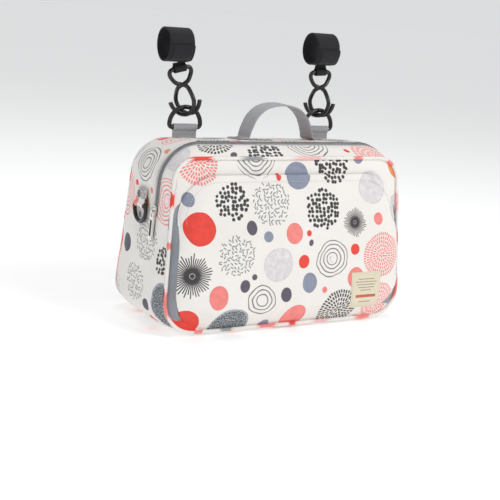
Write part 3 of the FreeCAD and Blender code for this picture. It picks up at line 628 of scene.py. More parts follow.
def disc_group():
    """One printed disc at the place P; the other inputs are its values in DISC_KEYS."""
    tree = bpy.data.node_groups.new("printed_disc", "ShaderNodeTree")
    for key in "P" + DISC_KEYS:
        tree.interface.new_socket(key, in_out="INPUT", socket_type="NodeSocketVector")
    tree.interface.new_socket("Color", in_out="OUTPUT", socket_type="NodeSocketVector")
    tree.interface.new_socket("Alpha", in_out="OUTPUT", socket_type="NodeSocketFloat")
    g = Graph(tree)
    source = g.node("NodeGroupInput")
    place, centre, size, first, second, knobs = [g.out(source, i) for i in range(6)]
    px, py, _ = g.split(place)
    cx, cy, turn = g.split(centre)
    rx, ry, style = g.split(size)
    count, pitch, band = g.split(knobs)
    cos_turn, sin_turn = g.cos(turn), g.sin(turn)
    seed = cx * 0.37 + cy * 0.21

    def local(x, y):
        dx, dy = x - cx, y - cy
        along = dx * cos_turn + dy * sin_turn
        across = dy * cos_turn - dx * sin_turn
        return along / rx, across / ry

    def radius(x, y):
        return g.math("SQRT", x * x + y * y)

    def speckle(scale, detail, rough=0.5):
        return g.noise(g.combine(px, py, seed), scale, detail, rough)

    qx, qy = local(px, py)
    wobble = speckle(0.055, 1.0)
    rho = radius(qx, qy) * (0.93 + wobble * 0.14)
    theta = g.math("ARCTAN2", qy, qx) / (2 * math.pi) + 0.5
    inside = g.math("MULTIPLY", (1.0 - rho) * rx, 2.2, clamp=True)
    # paint: washed and grainy, darker at the rim
    tone = 0.62 + speckle(0.16, 4.0, 0.62) * 0.62 + speckle(1.3, 2.0, 0.6) * 0.16
    tone = tone - g.scaled(g.math("SMOOTH_MIN", rho, 1.0, 0.1), 5.0, -4.3) * 0.12

    # scattered cells, with the radius at which each lies in the disc
    voronoi = g.node("ShaderNodeTexVoronoi", voronoi_dimensions="2D", feature="F1")
    g.feed(voronoi, {"Vector": g.scale(g.combine(px, py), 1.0 / pitch), "Scale": 1.0,
                     "Randomness": 0.62})
    distance = g.out(voronoi, "Distance")
    random_size, random_turn, random_drop = g.split(g.out(voronoi, "Color"))
    cell_x, cell_y, _ = g.split(g.out(voronoi, "Position"))
    cell_rho = radius(*local(cell_x * pitch, cell_y * pitch))
    whole = cell_rho < 0.90

    dot = g.soft(0.385 + random_size * 0.10 - distance, 0.12)
    polka = dot * whole
    # dashes along circles
    track = rho * count
    circle = g.floor(track)
    depth = g.fract(track)
    number = g.math("MAXIMUM", g.floor((circle + 0.55) * 6.2832 * pitch), 3.0)
    sweep = theta * number + g.random(circle + seed)
    aside = abs(g.fract(sweep) - 0.5)
    jitter = g.random(g.floor(sweep) + circle * 13.7)
    dashes = g.soft(0.31 - aside, 0.14) * (g.soft(depth - jitter * 0.22, 0.16)
                                           * g.soft(0.80 + jitter * 0.2 - depth, 0.16))
    dashes = dashes * inside
    # rings
    wavy = track + (wobble - 0.5) * 0.9
    ring_set = g.soft(band - abs(g.fract(wavy) - 0.5), 0.1) * inside * (rho > 0.7 / count)
    # burst of fine lines round a core
    spoke = theta * count
    aside = abs(g.fract(spoke) - 0.5)
    tip = 0.80 + g.random(g.floor(spoke) + seed) * 0.22
    burst = (g.soft(0.18 / g.math("MAXIMUM", rho, 0.3) - aside, 0.12) * (rho > band * 1.12)
             * g.soft(tip - rho, 0.03))
    core = g.soft(band - rho, 0.05)
    burst = g.math("MAXIMUM", burst, core * (band > 0.02))
    # short strokes that point anywhere
    vx, vy = px * (1.0 / pitch) - cell_x, py * (1.0 / pitch) - cell_y
    heading = random_turn * math.pi
    ca, sa = g.cos(heading), g.sin(heading)
    along = abs(vx * ca + vy * sa)
    across = abs(vy * ca - vx * sa)
    strokes = g.soft(0.46 - along, 0.1) * g.soft(0.15 - across, 0.1) * (cell_rho < 0.97)
    # grains that thin out towards the edge
    grains = g.soft(0.40 - distance, 0.2) * (random_drop > cell_rho * 1.05) * (cell_rho < 1.0)
    fine_rings = g.soft(0.10 - abs(g.fract(wavy) - 0.5), 0.1)

    is_style = [g.math("COMPARE", style, float(i), 0.4) for i in range(9)]
    is_ringed = is_style[8]
    full = g.math("MAXIMUM", g.math("MAXIMUM", is_style[SOLID], is_style[STIPPLE]), is_ringed)
    alpha = inside * full
    for pattern, cover in ((POLKA, polka), (DASHES, dashes), (RINGS, ring_set), (BURST, burst),
                           (STROKES, strokes), (GRAINS, grains)):
        alpha = alpha + is_style[pattern] * cover
    to_second = (is_style[BURST] * core + is_style[STIPPLE] * (dot * whole)
                 + is_ringed * g.soft(band - rho, 0.04))
    colour = g.mix(g.clamp(to_second), first, second)
    colour = g.mix(is_ringed * fine_rings * 0.55, colour, (0.30, 0.10, 0.06, 1))
    painted = g.clamp(is_style[SOLID] + (is_style[STIPPLE]
                                         + (is_ringed + is_style[BURST] * core)))
    tone = tone * painted + (1.0 - painted)
    g.feed(g.node("NodeGroupOutput"), {0: g.scale(colour, tone),
                                       1: g.math("MULTIPLY", alpha, 0.96, clamp=True)})
    return tree


def print_material():
    material, g, shader = new_material("printed_cloth")
    place = g.attribute("fabric")
    ground = g.noise(g.scale(place, 0.012), 1.0, 3.0)
    colour = g.mix(ground, (0.80, 0.765, 0.725, 1), (0.90, 0.875, 0.845, 1))
    group = disc_group()
    for layer in PRINT_LAYERS:
        node = g.node("ShaderNodeGroup", node_tree=group)
        g.feed(node, {0: place})
        for i, key in enumerate(DISC_KEYS):
            g.feed(node, {i + 1: g.attribute("m%s%s" % (layer, key))})
        colour = g.mix(g.out(node, 1), colour, g.out(node, 0))
    height = g.weave(place, 0.9)
    slub = g.noise(g.stretch(place, (0.12, 1.6, 1.0)), 1.0, 2.0)
    cross_slub = g.noise(g.stretch(place, (1.6, 0.12, 1.0)), 1.0, 2.0)
    thread = height * 0.10 + (slub + cross_slub) * 0.05
    creases = g.bump(g.noise(g.scale(place, 0.035), 1.0, 3.0, 0.55),
                     strength=0.25, distance=0.0012)
    g.feed(shader, {
        "Base Color": g.shaded(colour, 0.90 + thread),
        "Roughness": g.scaled(height, -0.08, 0.70, clamp=False),
        "Sheen Weight": 0.08, "Sheen Roughness": 0.5, "Specular IOR Level": 0.32,
        "Normal": g.bump(height + slub * 0.4, strength=0.45, distance=0.00016, normal=creases),
    })
    return material


# ------------------------------------------------------------------ other materials
CLOTH_MOTTLE = 0.12                        # how far tone varies over a cloth


def cloth(name, colour, dark, weave="plain", pitch=0.6, rib=1.6, rough=0.8, sheen=0.15,
          bump=0.5, depth=0.0002):
    """Woven or fuzzy stuff; dark is the colour between threads, depth the bump in metres."""
    material, g, shader = new_material(name)
    place = g.attribute("fabric")
    if weave == "rib":           # ribs run along y, yarn crosses them
        x, y, _ = g.split(place)
        ridge = abs(g.sin(x * (math.pi / rib)))
        yarn = abs(g.sin(y * (math.pi / pitch) + g.floor(x / rib) * (math.pi / 2)))
        height = ridge * 0.7 + yarn * 0.3
    elif weave == "twill":
        x, y, _ = g.split(place)
        height = abs(g.sin((x + y) * (math.pi / (pitch * 1.4))))
    elif weave == "fuzz":
        height = g.noise(place, 1.8, 4.0, 0.7)
    else:
        height = g.weave(place, pitch)
    broad = g.noise(place, 0.05, 3.0)
    fine = g.noise(place, 1.2, 2.0)
    tone = ((1.0 - CLOTH_MOTTLE + broad * CLOTH_MOTTLE)
            + (fine * (CLOTH_MOTTLE * 0.6) + (height - 0.6) * (CLOTH_MOTTLE * 1.4)))
    base = g.mix(g.math("MULTIPLY", height, 1.0, clamp=True), (*dark, 1), (*colour, 1))
    g.feed(shader, {
        "Base Color": g.shaded(base, tone),
        "Roughness": g.scaled(fine, 0.1, rough - 0.05, clamp=False),
        "Sheen Weight": sheen, "Specular IOR Level": 0.3,
        "Normal": g.bump(height, bump, depth),
    })
    return material


def plastic(name, colour, rough, coat=0.0, wear=0.25):
    """Hard plastic; wear is how far its edges lighten."""
    material, g, shader = new_material(name)
    place = g.object_place()
    broad = g.noise(place, 0.08, 3.0)
    fine = g.noise(place, 2.2, 3.0, 0.6)
    edge = g.scaled(g.out(g.node("ShaderNodeNewGeometry"), "Pointiness"), 14.0, -7.25)
    worn = edge * g.scaled(broad, 3.0, -1.1)
    light = tuple(min(v * 3.0 + 0.03, 1) for v in colour)
    base = g.mix(worn * wear, (*colour, 1), (*light, 1))
    g.feed(shader, {
        "Base Color": g.mix(broad * 0.25, base, tuple(v * 1.5 for v in colour) + (1,)),
        "Roughness": rough - 0.08 + (broad * 0.12 + fine * 0.05),
        "Coat Weight": coat,
        "Normal": g.bump(fine, strength=0.12, distance=0.00008),
    })
    return material


def metal(name, colour, rough):
    """Plated metal with fine scratches."""
    material, g, shader = new_material(name)
    place = g.object_place()
    broad = g.noise(place, 0.4, 3.0)
    scratch = g.noise(g.stretch(place, (6.0, 6.0, 0.35)), 1.0, 3.0, 0.7)
    g.feed(shader, {
        "Base Color": g.mix(broad, (*colour, 1), tuple(v * 0.82 for v in colour) + (1,)),
        "Metallic": 1.0,
        "Roughness": rough - 0.04 + (broad * 0.08 + scratch * 0.10),
        "Normal": g.bump(scratch, strength=0.10, distance=0.00005),
    })
    return material


def label_material():
    """Buff woven label with dark bars and one red bar."""
    material, g, shader = new_material("woven_label")
    place = g.attribute("fabric")
    x, y, _ = g.split(place)
    height = g.weave(place, 0.5)
    dark, red = (0.16, 0.17, 0.14, 1), (0.60, 0.13, 0.07, 1)

    def bar(x0, x1, y0, y1):
        wobble = (g.noise(place, 1.2, 2.0) - 0.5) * 0.35
        return (g.soft(x - x0, 0.5) * g.soft(x1 - x, 0.5)
                * (g.soft(y + wobble - y0, 0.3) * g.soft(y1 - (y + wobble), 0.3)))

    colour = g.mix(g.noise(place, 0.2, 2.0), (0.76, 0.68, 0.50, 1), (0.82, 0.75, 0.58, 1))
    for i, (x0, x1) in enumerate(((-12, 12), (-16, 16), (-14, 14), (-12, 13), (-8, 8))):
        step = i * 3.6
        colour = g.mix(bar(x0, x1, 13.5 - step, 14.6 - step) * 0.75, colour, dark)
    colour = g.mix(bar(-15.5, 15.5, -9.6, -6.0), colour, red)
    colour = g.mix(bar(-9, 9, -15.6, -14.4) * 0.75, colour, dark)
    g.feed(shader, {
        "Base Color": g.shaded(colour, 0.88 + height * 0.14),
        "Roughness": 0.62, "Sheen Weight": 0.1,
        "Normal": g.bump(height, strength=0.5, distance=0.00012),
    })
    return material


M_PRINT = print_material()
LINING_GREY = (0.28, 0.29, 0.31)
M_LINING = cloth("grey_lining", LINING_GREY, dark=tuple(v * 0.6 for v in LINING_GREY),
                 pitch=0.5, rough=0.55, sheen=0.1, depth=0.0001)
M_BELLOWS = cloth("grey_bellows_cloth", (0.36, 0.39, 0.43), dark=(0.30, 0.325, 0.36),
                  rough=0.45, sheen=0.2, depth=0.00012)
M_TAPE = cloth("zip_tape", (0.56, 0.56, 0.57), dark=(0.40, 0.40, 0.41), weave="rib",
               pitch=0.7, rib=1.5, rough=0.75)
M_COIL = plastic("zip_coil_nylon", (0.27, 0.27, 0.28), rough=0.38)
M_WEB = cloth("grey_webbing", (0.43, 0.43, 0.45), dark=(0.29, 0.29, 0.305), weave="rib",
              pitch=0.9, rib=1.9, rough=0.72, sheen=0.2, bump=0.7, depth=0.00035)
M_BLACK_WEB = cloth("black_webbing", (0.015, 0.015, 0.019), dark=(0.005, 0.005, 0.007),
                    weave="rib", pitch=1.0, rib=1.7, rough=0.7, sheen=0.03, bump=0.7,
                    depth=0.0003)
M_HOOK_FACE = cloth("hook_and_loop_face", (0.020, 0.021, 0.028), dark=(0.008, 0.008, 0.011),
                    weave="fuzz", rough=0.85, sheen=0.12, bump=0.8, depth=0.0005)
M_FOAM = cloth("foam_sheet", (0.74, 0.74, 0.72), dark=(0.62, 0.62, 0.60), weave="fuzz",
               rough=0.95, sheen=0.0, depth=0.0004)
M_MESH = cloth("pocket_mesh", (0.16, 0.165, 0.175), dark=(0.05, 0.05, 0.055), pitch=1.3,
               rough=0.6, bump=0.9, depth=0.0004)
M_ELASTIC = cloth("elastic_band", (0.07, 0.07, 0.075), dark=(0.03, 0.03, 0.033), weave="rib",
                  pitch=0.8, rib=1.3, rough=0.7, bump=0.8, depth=0.0004)
M_THREAD = cloth("cream_thread", (0.78, 0.75, 0.70), dark=(0.55, 0.52, 0.48), weave="twill",
                 pitch=0.25, rough=0.6, depth=0.0001)
M_GREY_THREAD = cloth("grey_thread", (0.25, 0.25, 0.27), dark=(0.15, 0.15, 0.16),
                      weave="twill", pitch=0.25, rough=0.6, depth=0.0001)
M_BLACK = plastic("black_acetal", (0.006, 0.006, 0.007), rough=0.30, coat=0.2, wear=0.1)
# painted reflection: the pull's inlay is near-black to stand for dark surroundings mirrored in the
# chrome pull
M_PULL_PAINTED_REFLECTION = plastic("pull_inlay", (0.012, 0.012, 0.012), rough=0.5)
M_BOARD = plastic("base_board", (0.10, 0.10, 0.105), rough=0.7)
M_NICKEL = metal("nickel_plate", (0.86, 0.85, 0.82), rough=0.16)
M_LABEL = label_material()

# ------------------------------------------------------------------ layout of the print
RED, ORANGE, CORAL = (0.80, 0.034, 0.014), (0.83, 0.27, 0.075), (0.86, 0.22, 0.20)
BLUE, PLUM, INK = (0.235, 0.27, 0.36), (0.085, 0.070, 0.105), (0.020, 0.018, 0.024)
SILVER, PINK, MIST = (0.30, 0.32, 0.33), (0.88, 0.50, 0.49), (0.70, 0.67, 0.69)
CHARCOAL, SOOT, SLATE = (0.12, 0.12, 0.13), (0.2, 0.21, 0.22), (0.36, 0.40, 0.44)

Disc = namedtuple("Disc", "x y rx ry style first second knobs")


def disc(x, y, r, colour, style=SOLID, ry=None, second=None, count=1, pitch=3, band=0):
    return Disc(x, y, r, ry or r, style, colour, second or colour, (count, pitch, band))


def large_discs(x, y, r, step):
    """The kinds of large disc, all at one place."""
    return (
        disc(x, y, r, INK, POLKA, pitch=5.2),
        disc(x, y, r, SLATE, STIPPLE, second=INK, pitch=1.9),
        disc(x, y, r, INK, DASHES, count=max(int(r / 5), 3), pitch=1.5),
        disc(x, y, r, CHARCOAL, RINGS, count=r / 5.0, band=0.13),
        disc(x, y, r, INK, BURST, count=44, band=0.12),
        disc(x, y, r, SOOT, STROKES, pitch=4.6),
        disc(x, y, r, SOOT, GRAINS, pitch=2.0),
        disc(x, y, r * 0.8, (BLUE, ORANGE, RED)[step % 3]),
        disc(x, y, r, CORAL, DASHES, count=max(int(r / 4.5), 3), pitch=1.5),
        disc(x, y, r, CORAL, RINGS, count=r / 4.6, band=0.16),
        disc(x, y, r * 0.85, MIST),
        disc(x, y, r * 0.7, CORAL),
    )


# mean radius and tries, from large to small
DISC_SIZES = ((26, 1600), (20, 1600), (14, 1600), (8.5, 420), (4.6, 220))
LARGE_RADIUS = 15
DISC_GAP = 1.6
LARGE_KINDS = 12
SMALL_COLOURS = (RED, PLUM, CORAL, ORANGE, BLUE, RED)


def random_layout(x0, x1, y0, y1, seed):
    """Discs thrown on a rectangle from large to small, none too close to another."""
    rng = np.random.RandomState(seed)
    placed, discs = [], []
    step = 0
    for mean, tries in DISC_SIZES:
        for _ in range(tries):
            x, y = rng.uniform(x0, x1), rng.uniform(y0, y1)
            r = mean * rng.uniform(0.9, 1.12)
            if any(math.hypot(x - a, y - b) < r + c + DISC_GAP for a, b, c in placed):
                continue
            placed.append((x, y, r))
            kind = (step * 5 + rng.randint(0, 3)) % LARGE_KINDS
            step += 1
            if mean >= LARGE_RADIUS:
                discs.append(large_discs(x, y, r, step)[kind])
            else:
                colour = SMALL_COLOURS[rng.randint(0, 6)]
                discs.append(disc(x, y, r * 0.85, colour, ry=r * rng.uniform(0.85, 1.1)))
    return discs


def reach(d, angle):
    return d.rx * d.ry / math.hypot(d.ry * math.cos(angle), d.rx * math.sin(angle))


def covers(d, other):
    """Whether two discs lie over each other by more than a rim."""
    angle = math.atan2(other.y - d.y, other.x - d.x)
    return (math.hypot(other.x - d.x, other.y - d.y)
            < 0.95 * (reach(d, angle) + reach(other, angle + math.pi)))


def stack_discs(discs):
    """Share discs out to the print layers, each above the ones it covers."""
    layers = [[] for _ in PRINT_LAYERS]
    top = len(layers) - 1
    for d in discs:
        below = [i for i, layer in enumerate(layers) if any(covers(d, q) for q in layer)]
        layers[min(below[-1] + 1, top) if below else 0].append(d)
    return layers


def print_cloth(ob, discs, back=None):
    """Give each face, on each print layer, its nearest disc; back is a second material."""
    me = ob.data
    index = np.zeros(len(me.polygons), np.int32)
    me.polygons.foreach_get("material_index", index)
    fabric = read_fabric(ob)
    centres = np.array([fabric[list(p.vertices)].mean(0)[:2] for p in me.polygons])
    for layer, items in zip(PRINT_LAYERS, stack_discs(discs)):
        items = items or [disc(1e5, 1e5, 1, INK)]       # an empty layer: one disc far away
        x, y, rx, ry = np.array([d[:4] for d in items]).T
        nearest = np.sqrt(((centres[:, :1] - x) / rx) ** 2
                          + ((centres[:, 1:] - y) / ry) ** 2).argmin(1)
        values = ([(d.x, d.y, 0.0) for d in items], [(d.rx, d.ry, d.style) for d in items],
                  [d.first for d in items], [d.second for d in items],
                  [d.knobs for d in items])
        for key, value in zip(DISC_KEYS, values):
            add_attribute(ob, "m%s%s" % (layer, key), "FACE", np.array(value, float)[nearest])
    me.materials.clear()
    me.materials.append(M_PRINT)
    if back is not None:
        me.materials.append(back)
    me.polygons.foreach_set("material_index", index)
    return ob


FRONT_PRINT = random_layout(-170, 170, -6, 214, 41)

# ------------------------------------------------------------------ gusset surface
FRONT_LOOP, CREST_LOOP, REAR_LOOP = FRONT.loop(), CREST.loop(), REAR.loop()
FRONT_Y, REAR_Y = FRONT_LOOP[:, 1], REAR_LOOP[:, 1]
FRONT_ROWS, REAR_ROWS = 18, 38              # rows from the zip to each seam


def gusset_surface():
    """Grid (station, row) round the bag from the front seam over the zip line to the rear."""
    rows = [FRONT_LOOP + (CREST_LOOP - FRONT_LOOP) * t
            for t in np.linspace(0, 1, FRONT_ROWS + 1)]
    rows += [CREST_LOOP + (REAR_LOOP - CREST_LOOP) * t
             for t in np.linspace(0, 1, REAR_ROWS + 1)[1:]]
    grid = np.stack(rows, 1)
    for _ in range(14):
        grid[:, 1:-1] = 0.5 * grid[:, 1:-1] + 0.25 * (grid[:, :-2] + grid[:, 2:])
    normals, _ = outward_normals(grid, closed=True)
    y, z = grid[..., 1], grid[..., 2]
    rear_share = np.clip((y - ZIP_Y) / (REAR_Y[:, None] - ZIP_Y), 0, 1)
    front_share = np.clip((ZIP_Y - y) / (ZIP_Y - FRONT_Y[:, None]), 0, 1)
    rear_arch, front_arch = np.sin(math.pi * rear_share), np.sin(math.pi * front_share)
    # the cloth bulges most on the sides, and hardly at all near the ground
    bulge = np.where(y > ZIP_Y, 3.6 * rear_arch ** 0.8, 0.9 * front_arch)
    bulge = (bulge * (0.22 + 0.78 * np.abs(normals[..., 0]))
             * np.where(z < 25, 0.15 + 0.85 * ramp(3, 25, z), 1.0))
    # kept flat round the side tabs
    keep = 1 - np.exp(-(((y - 8) / 26) ** 2 + ((z - 134) / 30) ** 2) ** 2)
    near_edge = ramp(0, 9, np.abs(y - ZIP_Y) - 4) * np.where(y > ZIP_Y, rear_arch,
                                                             front_arch) ** 0.5
    wrinkle = 2.6 * fbm(grid, 46, 3.1) + 1.0 * fbm(grid, 17, 9.2, (1.0, 0.45, 1.0))
    wrinkle = (wrinkle * near_edge * np.where(z > 205, 0.25, 1.0)
               * np.where(z < 8, 0.1, 1.0))
    grid = grid + normals * ((bulge + wrinkle) * keep)[..., None]
    grid[..., 2] = np.maximum(grid[..., 2], 0.0)
    return grid


SURFACE = gusset_surface()
_arc = run_length(np.vstack([CREST_LOOP, CREST_LOOP[:1]]))
AROUND = _arc[-1]                           # length of the crest loop
# cloth lengths: round the bag from the top middle (plus on the right), and from the front seam
FABRIC_U = -(_arc[:-1] - _arc[TOP_STATION])
FABRIC_V = np.concatenate([np.zeros((STATIONS, 1)), np.cumsum(
    np.linalg.norm(np.diff(SURFACE, axis=1), axis=-1), 1)], 1)


def gusset_band(stations, y_from, y_to, rows, depth=0.0):
    """Grid on the gusset between two y (numbers, or one per station), and its fabric places."""
    y_from, y_to = np.broadcast_to(y_from, STATIONS), np.broadcast_to(y_to, STATIONS)
    points = np.empty((len(stations), rows, 3))
    fabric = np.empty((len(stations), rows, 2))
    for a, i in enumerate(stations):
        ys = np.linspace(y_from[i], y_to[i], rows)
        for c in range(3):
            points[a, :, c] = np.interp(ys, SURFACE[i, :, 1], SURFACE[i, :, c])
        fabric[a, :, 0] = FABRIC_U[i]
        fabric[a, :, 1] = np.interp(ys, SURFACE[i, :, 1], FABRIC_V[i])
    if depth:
        points = points - outward_normals(points)[0] * depth
    return points, fabric


LOWER = [i % STATIONS for i in range(STATIONS - FOLD_STATION, STATIONS + FOLD_STATION + 1)]
UPPER = list(range(FOLD_STATION, STATIONS - FOLD_STATION + 1))
GUSSET_PRINT = [d._replace(x=d.x + k * AROUND)
                for d in random_layout(-AROUND / 2, AROUND / 2, 0, 150, 11) for k in (-1, 0, 1)]

# ------------------------------------------------------------------ gusset and top strips
SLOT_HALF = 6.6                             # half the gap for the zip
GUSSET_THICK = 1.5

points, fabric = gusset_band(LOWER, FRONT_Y, REAR_Y, 56)
fabric[FOLD_STATION:, :, 0] -= AROUND       # run on past the bottom middle
gusset = sheet("gusset_cloth", points, fabric, GUSSET_THICK)
print_cloth(gusset, GUSSET_PRINT, M_LINING)
declare(gusset, "printed", FLAP_FOLD, "side_base_gusset")

for tag, y_from, y_to, rows, motion in (("front", FRONT_Y, ZIP_Y - SLOT_HALF, 18, FLAP_FOLD),
                                        ("rear", ZIP_Y + SLOT_HALF, REAR_Y, 40, "root")):
    strip = sheet("top_strip_%s_cloth" % tag, *gusset_band(UPPER, y_from, y_to, rows),
                  GUSSET_THICK)
    print_cloth(strip, GUSSET_PRINT, M_LINING)
    declare(strip, "printed", motion, "top_strip_" + tag)

# ------------------------------------------------------------------ zip
ZIP_SIDES = (("front", -1, FLAP_FOLD), ("rear", 1, "root"))     # name, sign of y, motion

# two rows of top stitching on each strip
for tag, sign, motion in ZIP_SIDES:
    rows = []
    for from_edge in (1.5, 4.2):
        y = ZIP_Y + sign * SLOT_HALF + sign * from_edge
        band, _ = gusset_band(UPPER, y - 1.0, y + 1.0, 3)
        normals, _ = outward_normals(band)
        rows.append(stitches("stitch_row", band[:, 1], normals[:, 1], M_THREAD,
                             pitch=3.1, length=2.2, width=0.5, lift=0.1))
    declare(joined("zip_stitching_" + tag, rows), "printed", motion)

TAPE_INNER, TAPE_OUTER = 0.75, 12.0         # the tape's edges, from the zip line
TOOTH_ROOT = 3.1
TOOTH_PITCH, TOOTH_RADIUS, TOOTH_SIDES = 1.5, 0.56, 7
# along a tooth: share of its length, height, share of its radius
TOOTH_PROFILE = ((0.0, -0.25, 0.55), (0.12, 0.25, 0.9), (0.5, 0.5, 1.0),
                 (0.85, 0.32, 1.0), (1.0, 0.05, 0.8))


def coil_teeth(name, y_root, y_tip):
    """Row of zip teeth across the crest, each reaching from y_root to y_tip."""
    band, _ = gusset_band(UPPER, min(y_root, y_tip) - 0.5, max(y_root, y_tip) + 0.5, 3, 0.25)
    path = band[:, 1]
    normals = outward_normals(band)[0][:, 1]
    lengths = run_length(path)
    stagger = 0.5 if y_root > y_tip else 0.0       # the two rows mesh
    angle = np.arange(TOOTH_SIDES) * 2 * math.pi / TOOTH_SIDES
    cos, sin = np.cos(angle)[:, None], np.sin(angle)[:, None]
    verts, faces = [], []
    for k in range(int(lengths[-1] / TOOTH_PITCH)):
        where = (k + 0.5 + stagger) * TOOTH_PITCH
        if where > lengths[-1]:
            continue
        middle = at_length(lengths, path, where)
        normal = unit(at_length(lengths, normals, where))
        tangent = unit(at_length(lengths, path, where + 0.5)
                       - at_length(lengths, path, where - 0.5))
        faces += rod_faces(len(TOOTH_PROFILE), TOOTH_SIDES, len(verts))
        for share, height, fat in TOOTH_PROFILE:
            centre = middle.copy()
            centre[1] = y_root + (y_tip - y_root) * share
            centre = centre + normal * height
            verts.extend(centre + (tangent * cos + normal * sin) * TOOTH_RADIUS * fat)
    ob = make_object(name, verts, faces)
    ob.data.materials.append(M_COIL)
    return ob


for tag, sign, motion in ZIP_SIDES:
    edges = sorted((ZIP_Y + sign * TAPE_INNER, ZIP_Y + sign * TAPE_OUTER))
    points, fabric = gusset_band(UPPER, *edges, 12, 0.9)
    tape = sheet("zip_tape_%s_cloth" % tag, points, fabric[..., ::-1], 0.7, [M_TAPE])
    coil = coil_teeth("zip_coil_%s_teeth" % tag, ZIP_Y + sign * TOOTH_ROOT,
                      ZIP_Y + sign * TAPE_INNER)
    declare(tape, "zip_tape", motion, "zipper_tape_" + tag)
    declare(coil, "zip_coil", motion, "zipper_coil_" + tag)


# ------------------------------------------------------------------ front and back panels
def panel(name, wall, inset, lift, thickness, puff, rim, wrinkle, seed, materials):
    """Puffed sheet on a wall: lift at its edge, rising by puff over a rim of the given width."""
    outline = wall.outline(inset)
    grid = fill_outline(outline)
    distance, _ = edge_distance(grid, outline)
    rise = 1 - (1 - np.clip(distance / rim, 0, 1)) ** 2.2
    folds = fbm(grid, 52, seed, (0.7, 1.0, 1.0)) * wrinkle * np.clip(distance / 12, 0, 1)
    points = wall.point(grid[..., 0], grid[..., 1], lift + puff * rise + folds)
    return sheet(name, points, grid * np.array([-wall.facing, 1]), thickness, materials)


# for each sheet, from the outside in: its inset from the seam, lift and thickness
PANEL_CLOTH, PANEL_FOAM, PANEL_LINING = (0.4, 0.3, 1.2), (4.2, -1.5, 3.6), (3.0, -6.2, 0.7)
BACK_PRINT = random_layout(-165, 165, 4, 210, 23)
# wall, print, motion, endings of the replaced names, then puff, rim, wrinkle, seed of each sheet
for tag, wall, discs, motion, panel_ends, ends, shapes in (
        ("front", FRONT, FRONT_PRINT, FLAP_FOLD, ("_lower", "_upper"), ("_lower", "_upper"),
         ((3.4, 36, 0.9, 2.0), (3.2, 34, 0.5, 2.0), (2.2, 40, 1.2, 5.0))),
        ("back", REAR, BACK_PRINT, "root", ("",), ("",),
         ((5.0, 48, 1.6, 7.0), (4.4, 46, 1.0, 7.0), (3.0, 44, 1.2, 8.0)))):
    outer = panel(tag + "_panel_cloth", wall, *PANEL_CLOTH, *shapes[0], [M_PRINT, M_LINING])
    print_cloth(outer, discs, M_LINING)
    declare(outer, "printed", motion, *[tag + "_panel" + end for end in panel_ends])
    foam = panel(tag + "_foam_pad", wall, *PANEL_FOAM, *shapes[1], [M_FOAM])
    declare(foam, "foam", motion, *[tag + "_foam" + end for end in ends])
    lining = panel(tag + "_lining_cloth", wall, *PANEL_LINING, *shapes[2], [M_LINING])
    declare(lining, "lining", motion, *[tag + "_lining" + end for end in ends])

# lining of the gusset: the inner sleeve below the fold, held just above the ground
points, fabric = gusset_band(LOWER, FRONT_Y + 7.4, REAR_Y - 7.4, 44, 2.6)
points[..., 2] = np.maximum(points[..., 2], 2.4)
lining = sheet("gusset_lining_cloth", points, fabric, 0.6, [M_LINING])
declare(lining, "lining", FLAP_FOLD, "gusset_lining")


# ------------------------------------------------------------------ piping
def piping_layout():
    """Long patches of colour, one after another along the cord."""
    rng = np.random.RandomState(5)
    colours = (CORAL, PINK, MIST, RED, PINK, SILVER, CORAL)
    discs, start = [], 0.0
    while start < 1100:
        colour = colours[rng.randint(0, 7)]
        half = rng.uniform(6, 26)
        rng.uniform()                       # an unused draw that the sequence counts on
        discs.append(disc(6.5, start + half, 7.5, colour, ry=half))
        start += 2 * half + rng.uniform(8, 40)
    return discs


PIPING_PRINT = piping_layout()
PIPING_INSET = PIPING_LIFT = 2.3
for tag, wall, seed, motion, replaced in (
        ("front", FRONT, 4.0, FLAP_FOLD, ("front_piping_lower", "front_piping_upper")),
        ("back", REAR, 6.0, "root", ("back_piping",))):
    path = smooth_closed(wall.loop(PIPING_INSET, PIPING_LIFT), 2)
    cord = closed_tube(tag + "_piping_cord", path, 2.15 + 0.12 * fbm(path, 18, seed), 14)
    print_cloth(cord, PIPING_PRINT)
    declare(cord, "printed", motion, *replaced)

# ------------------------------------------------------------------ front pocket
POCKET_LOOP = FRONT.outline(10.5, low=5.0, high=186.5, radii=(46, 50))
_s = POCKET_LOOP[:, 1]
# height of the pocket's edge over the front wall, by level
POCKET_EDGE = (1.0 + 12.4 * ramp(8, 46, _s) - 10.0 * ramp(104, 146, _s)
               + 3.2 * ramp(160, 186, _s))


def pocket_lift(grid):
    """Height of the pocket's face over the front wall at (x, s)."""
    distance, nearest = edge_distance(grid, POCKET_LOOP)
    x, s = grid[..., 0], grid[..., 1]
    deep = 21.0 - 11.6 * ramp(100, 188, s) + 1.2 * (1 - (x / 170) ** 2)
    roll = 26 + 16 * (1 - ramp(10, 60, s))
    rise = 1 - (1 - np.clip(distance / roll, 0, 1)) ** 2.4
    edge = POCKET_EDGE[nearest]
    wrinkle = 2.6 * fbm(grid, 60, 12.0, (0.55, 1.0, 1.0)) + 0.9 * fbm(grid, 24, 3.3)
    return edge + (deep - edge) * rise + wrinkle * np.clip(distance / 16, 0, 1)


def pocket_points(x, s):
    return FRONT.point(x, s, pocket_lift(np.stack([x, s], -1)))


def pocket_surface(x, s):
    """Points on the pocket's face and the normals there, which face the front."""
    step = 1.5
    normals = unit(np.cross(pocket_points(x, s + step) - pocket_points(x, s - step),
                            pocket_points(x + step, s) - pocket_points(x - step, s)))
    return pocket_points(x, s), np.where(normals[..., 1:2] > 0, -normals, normals)


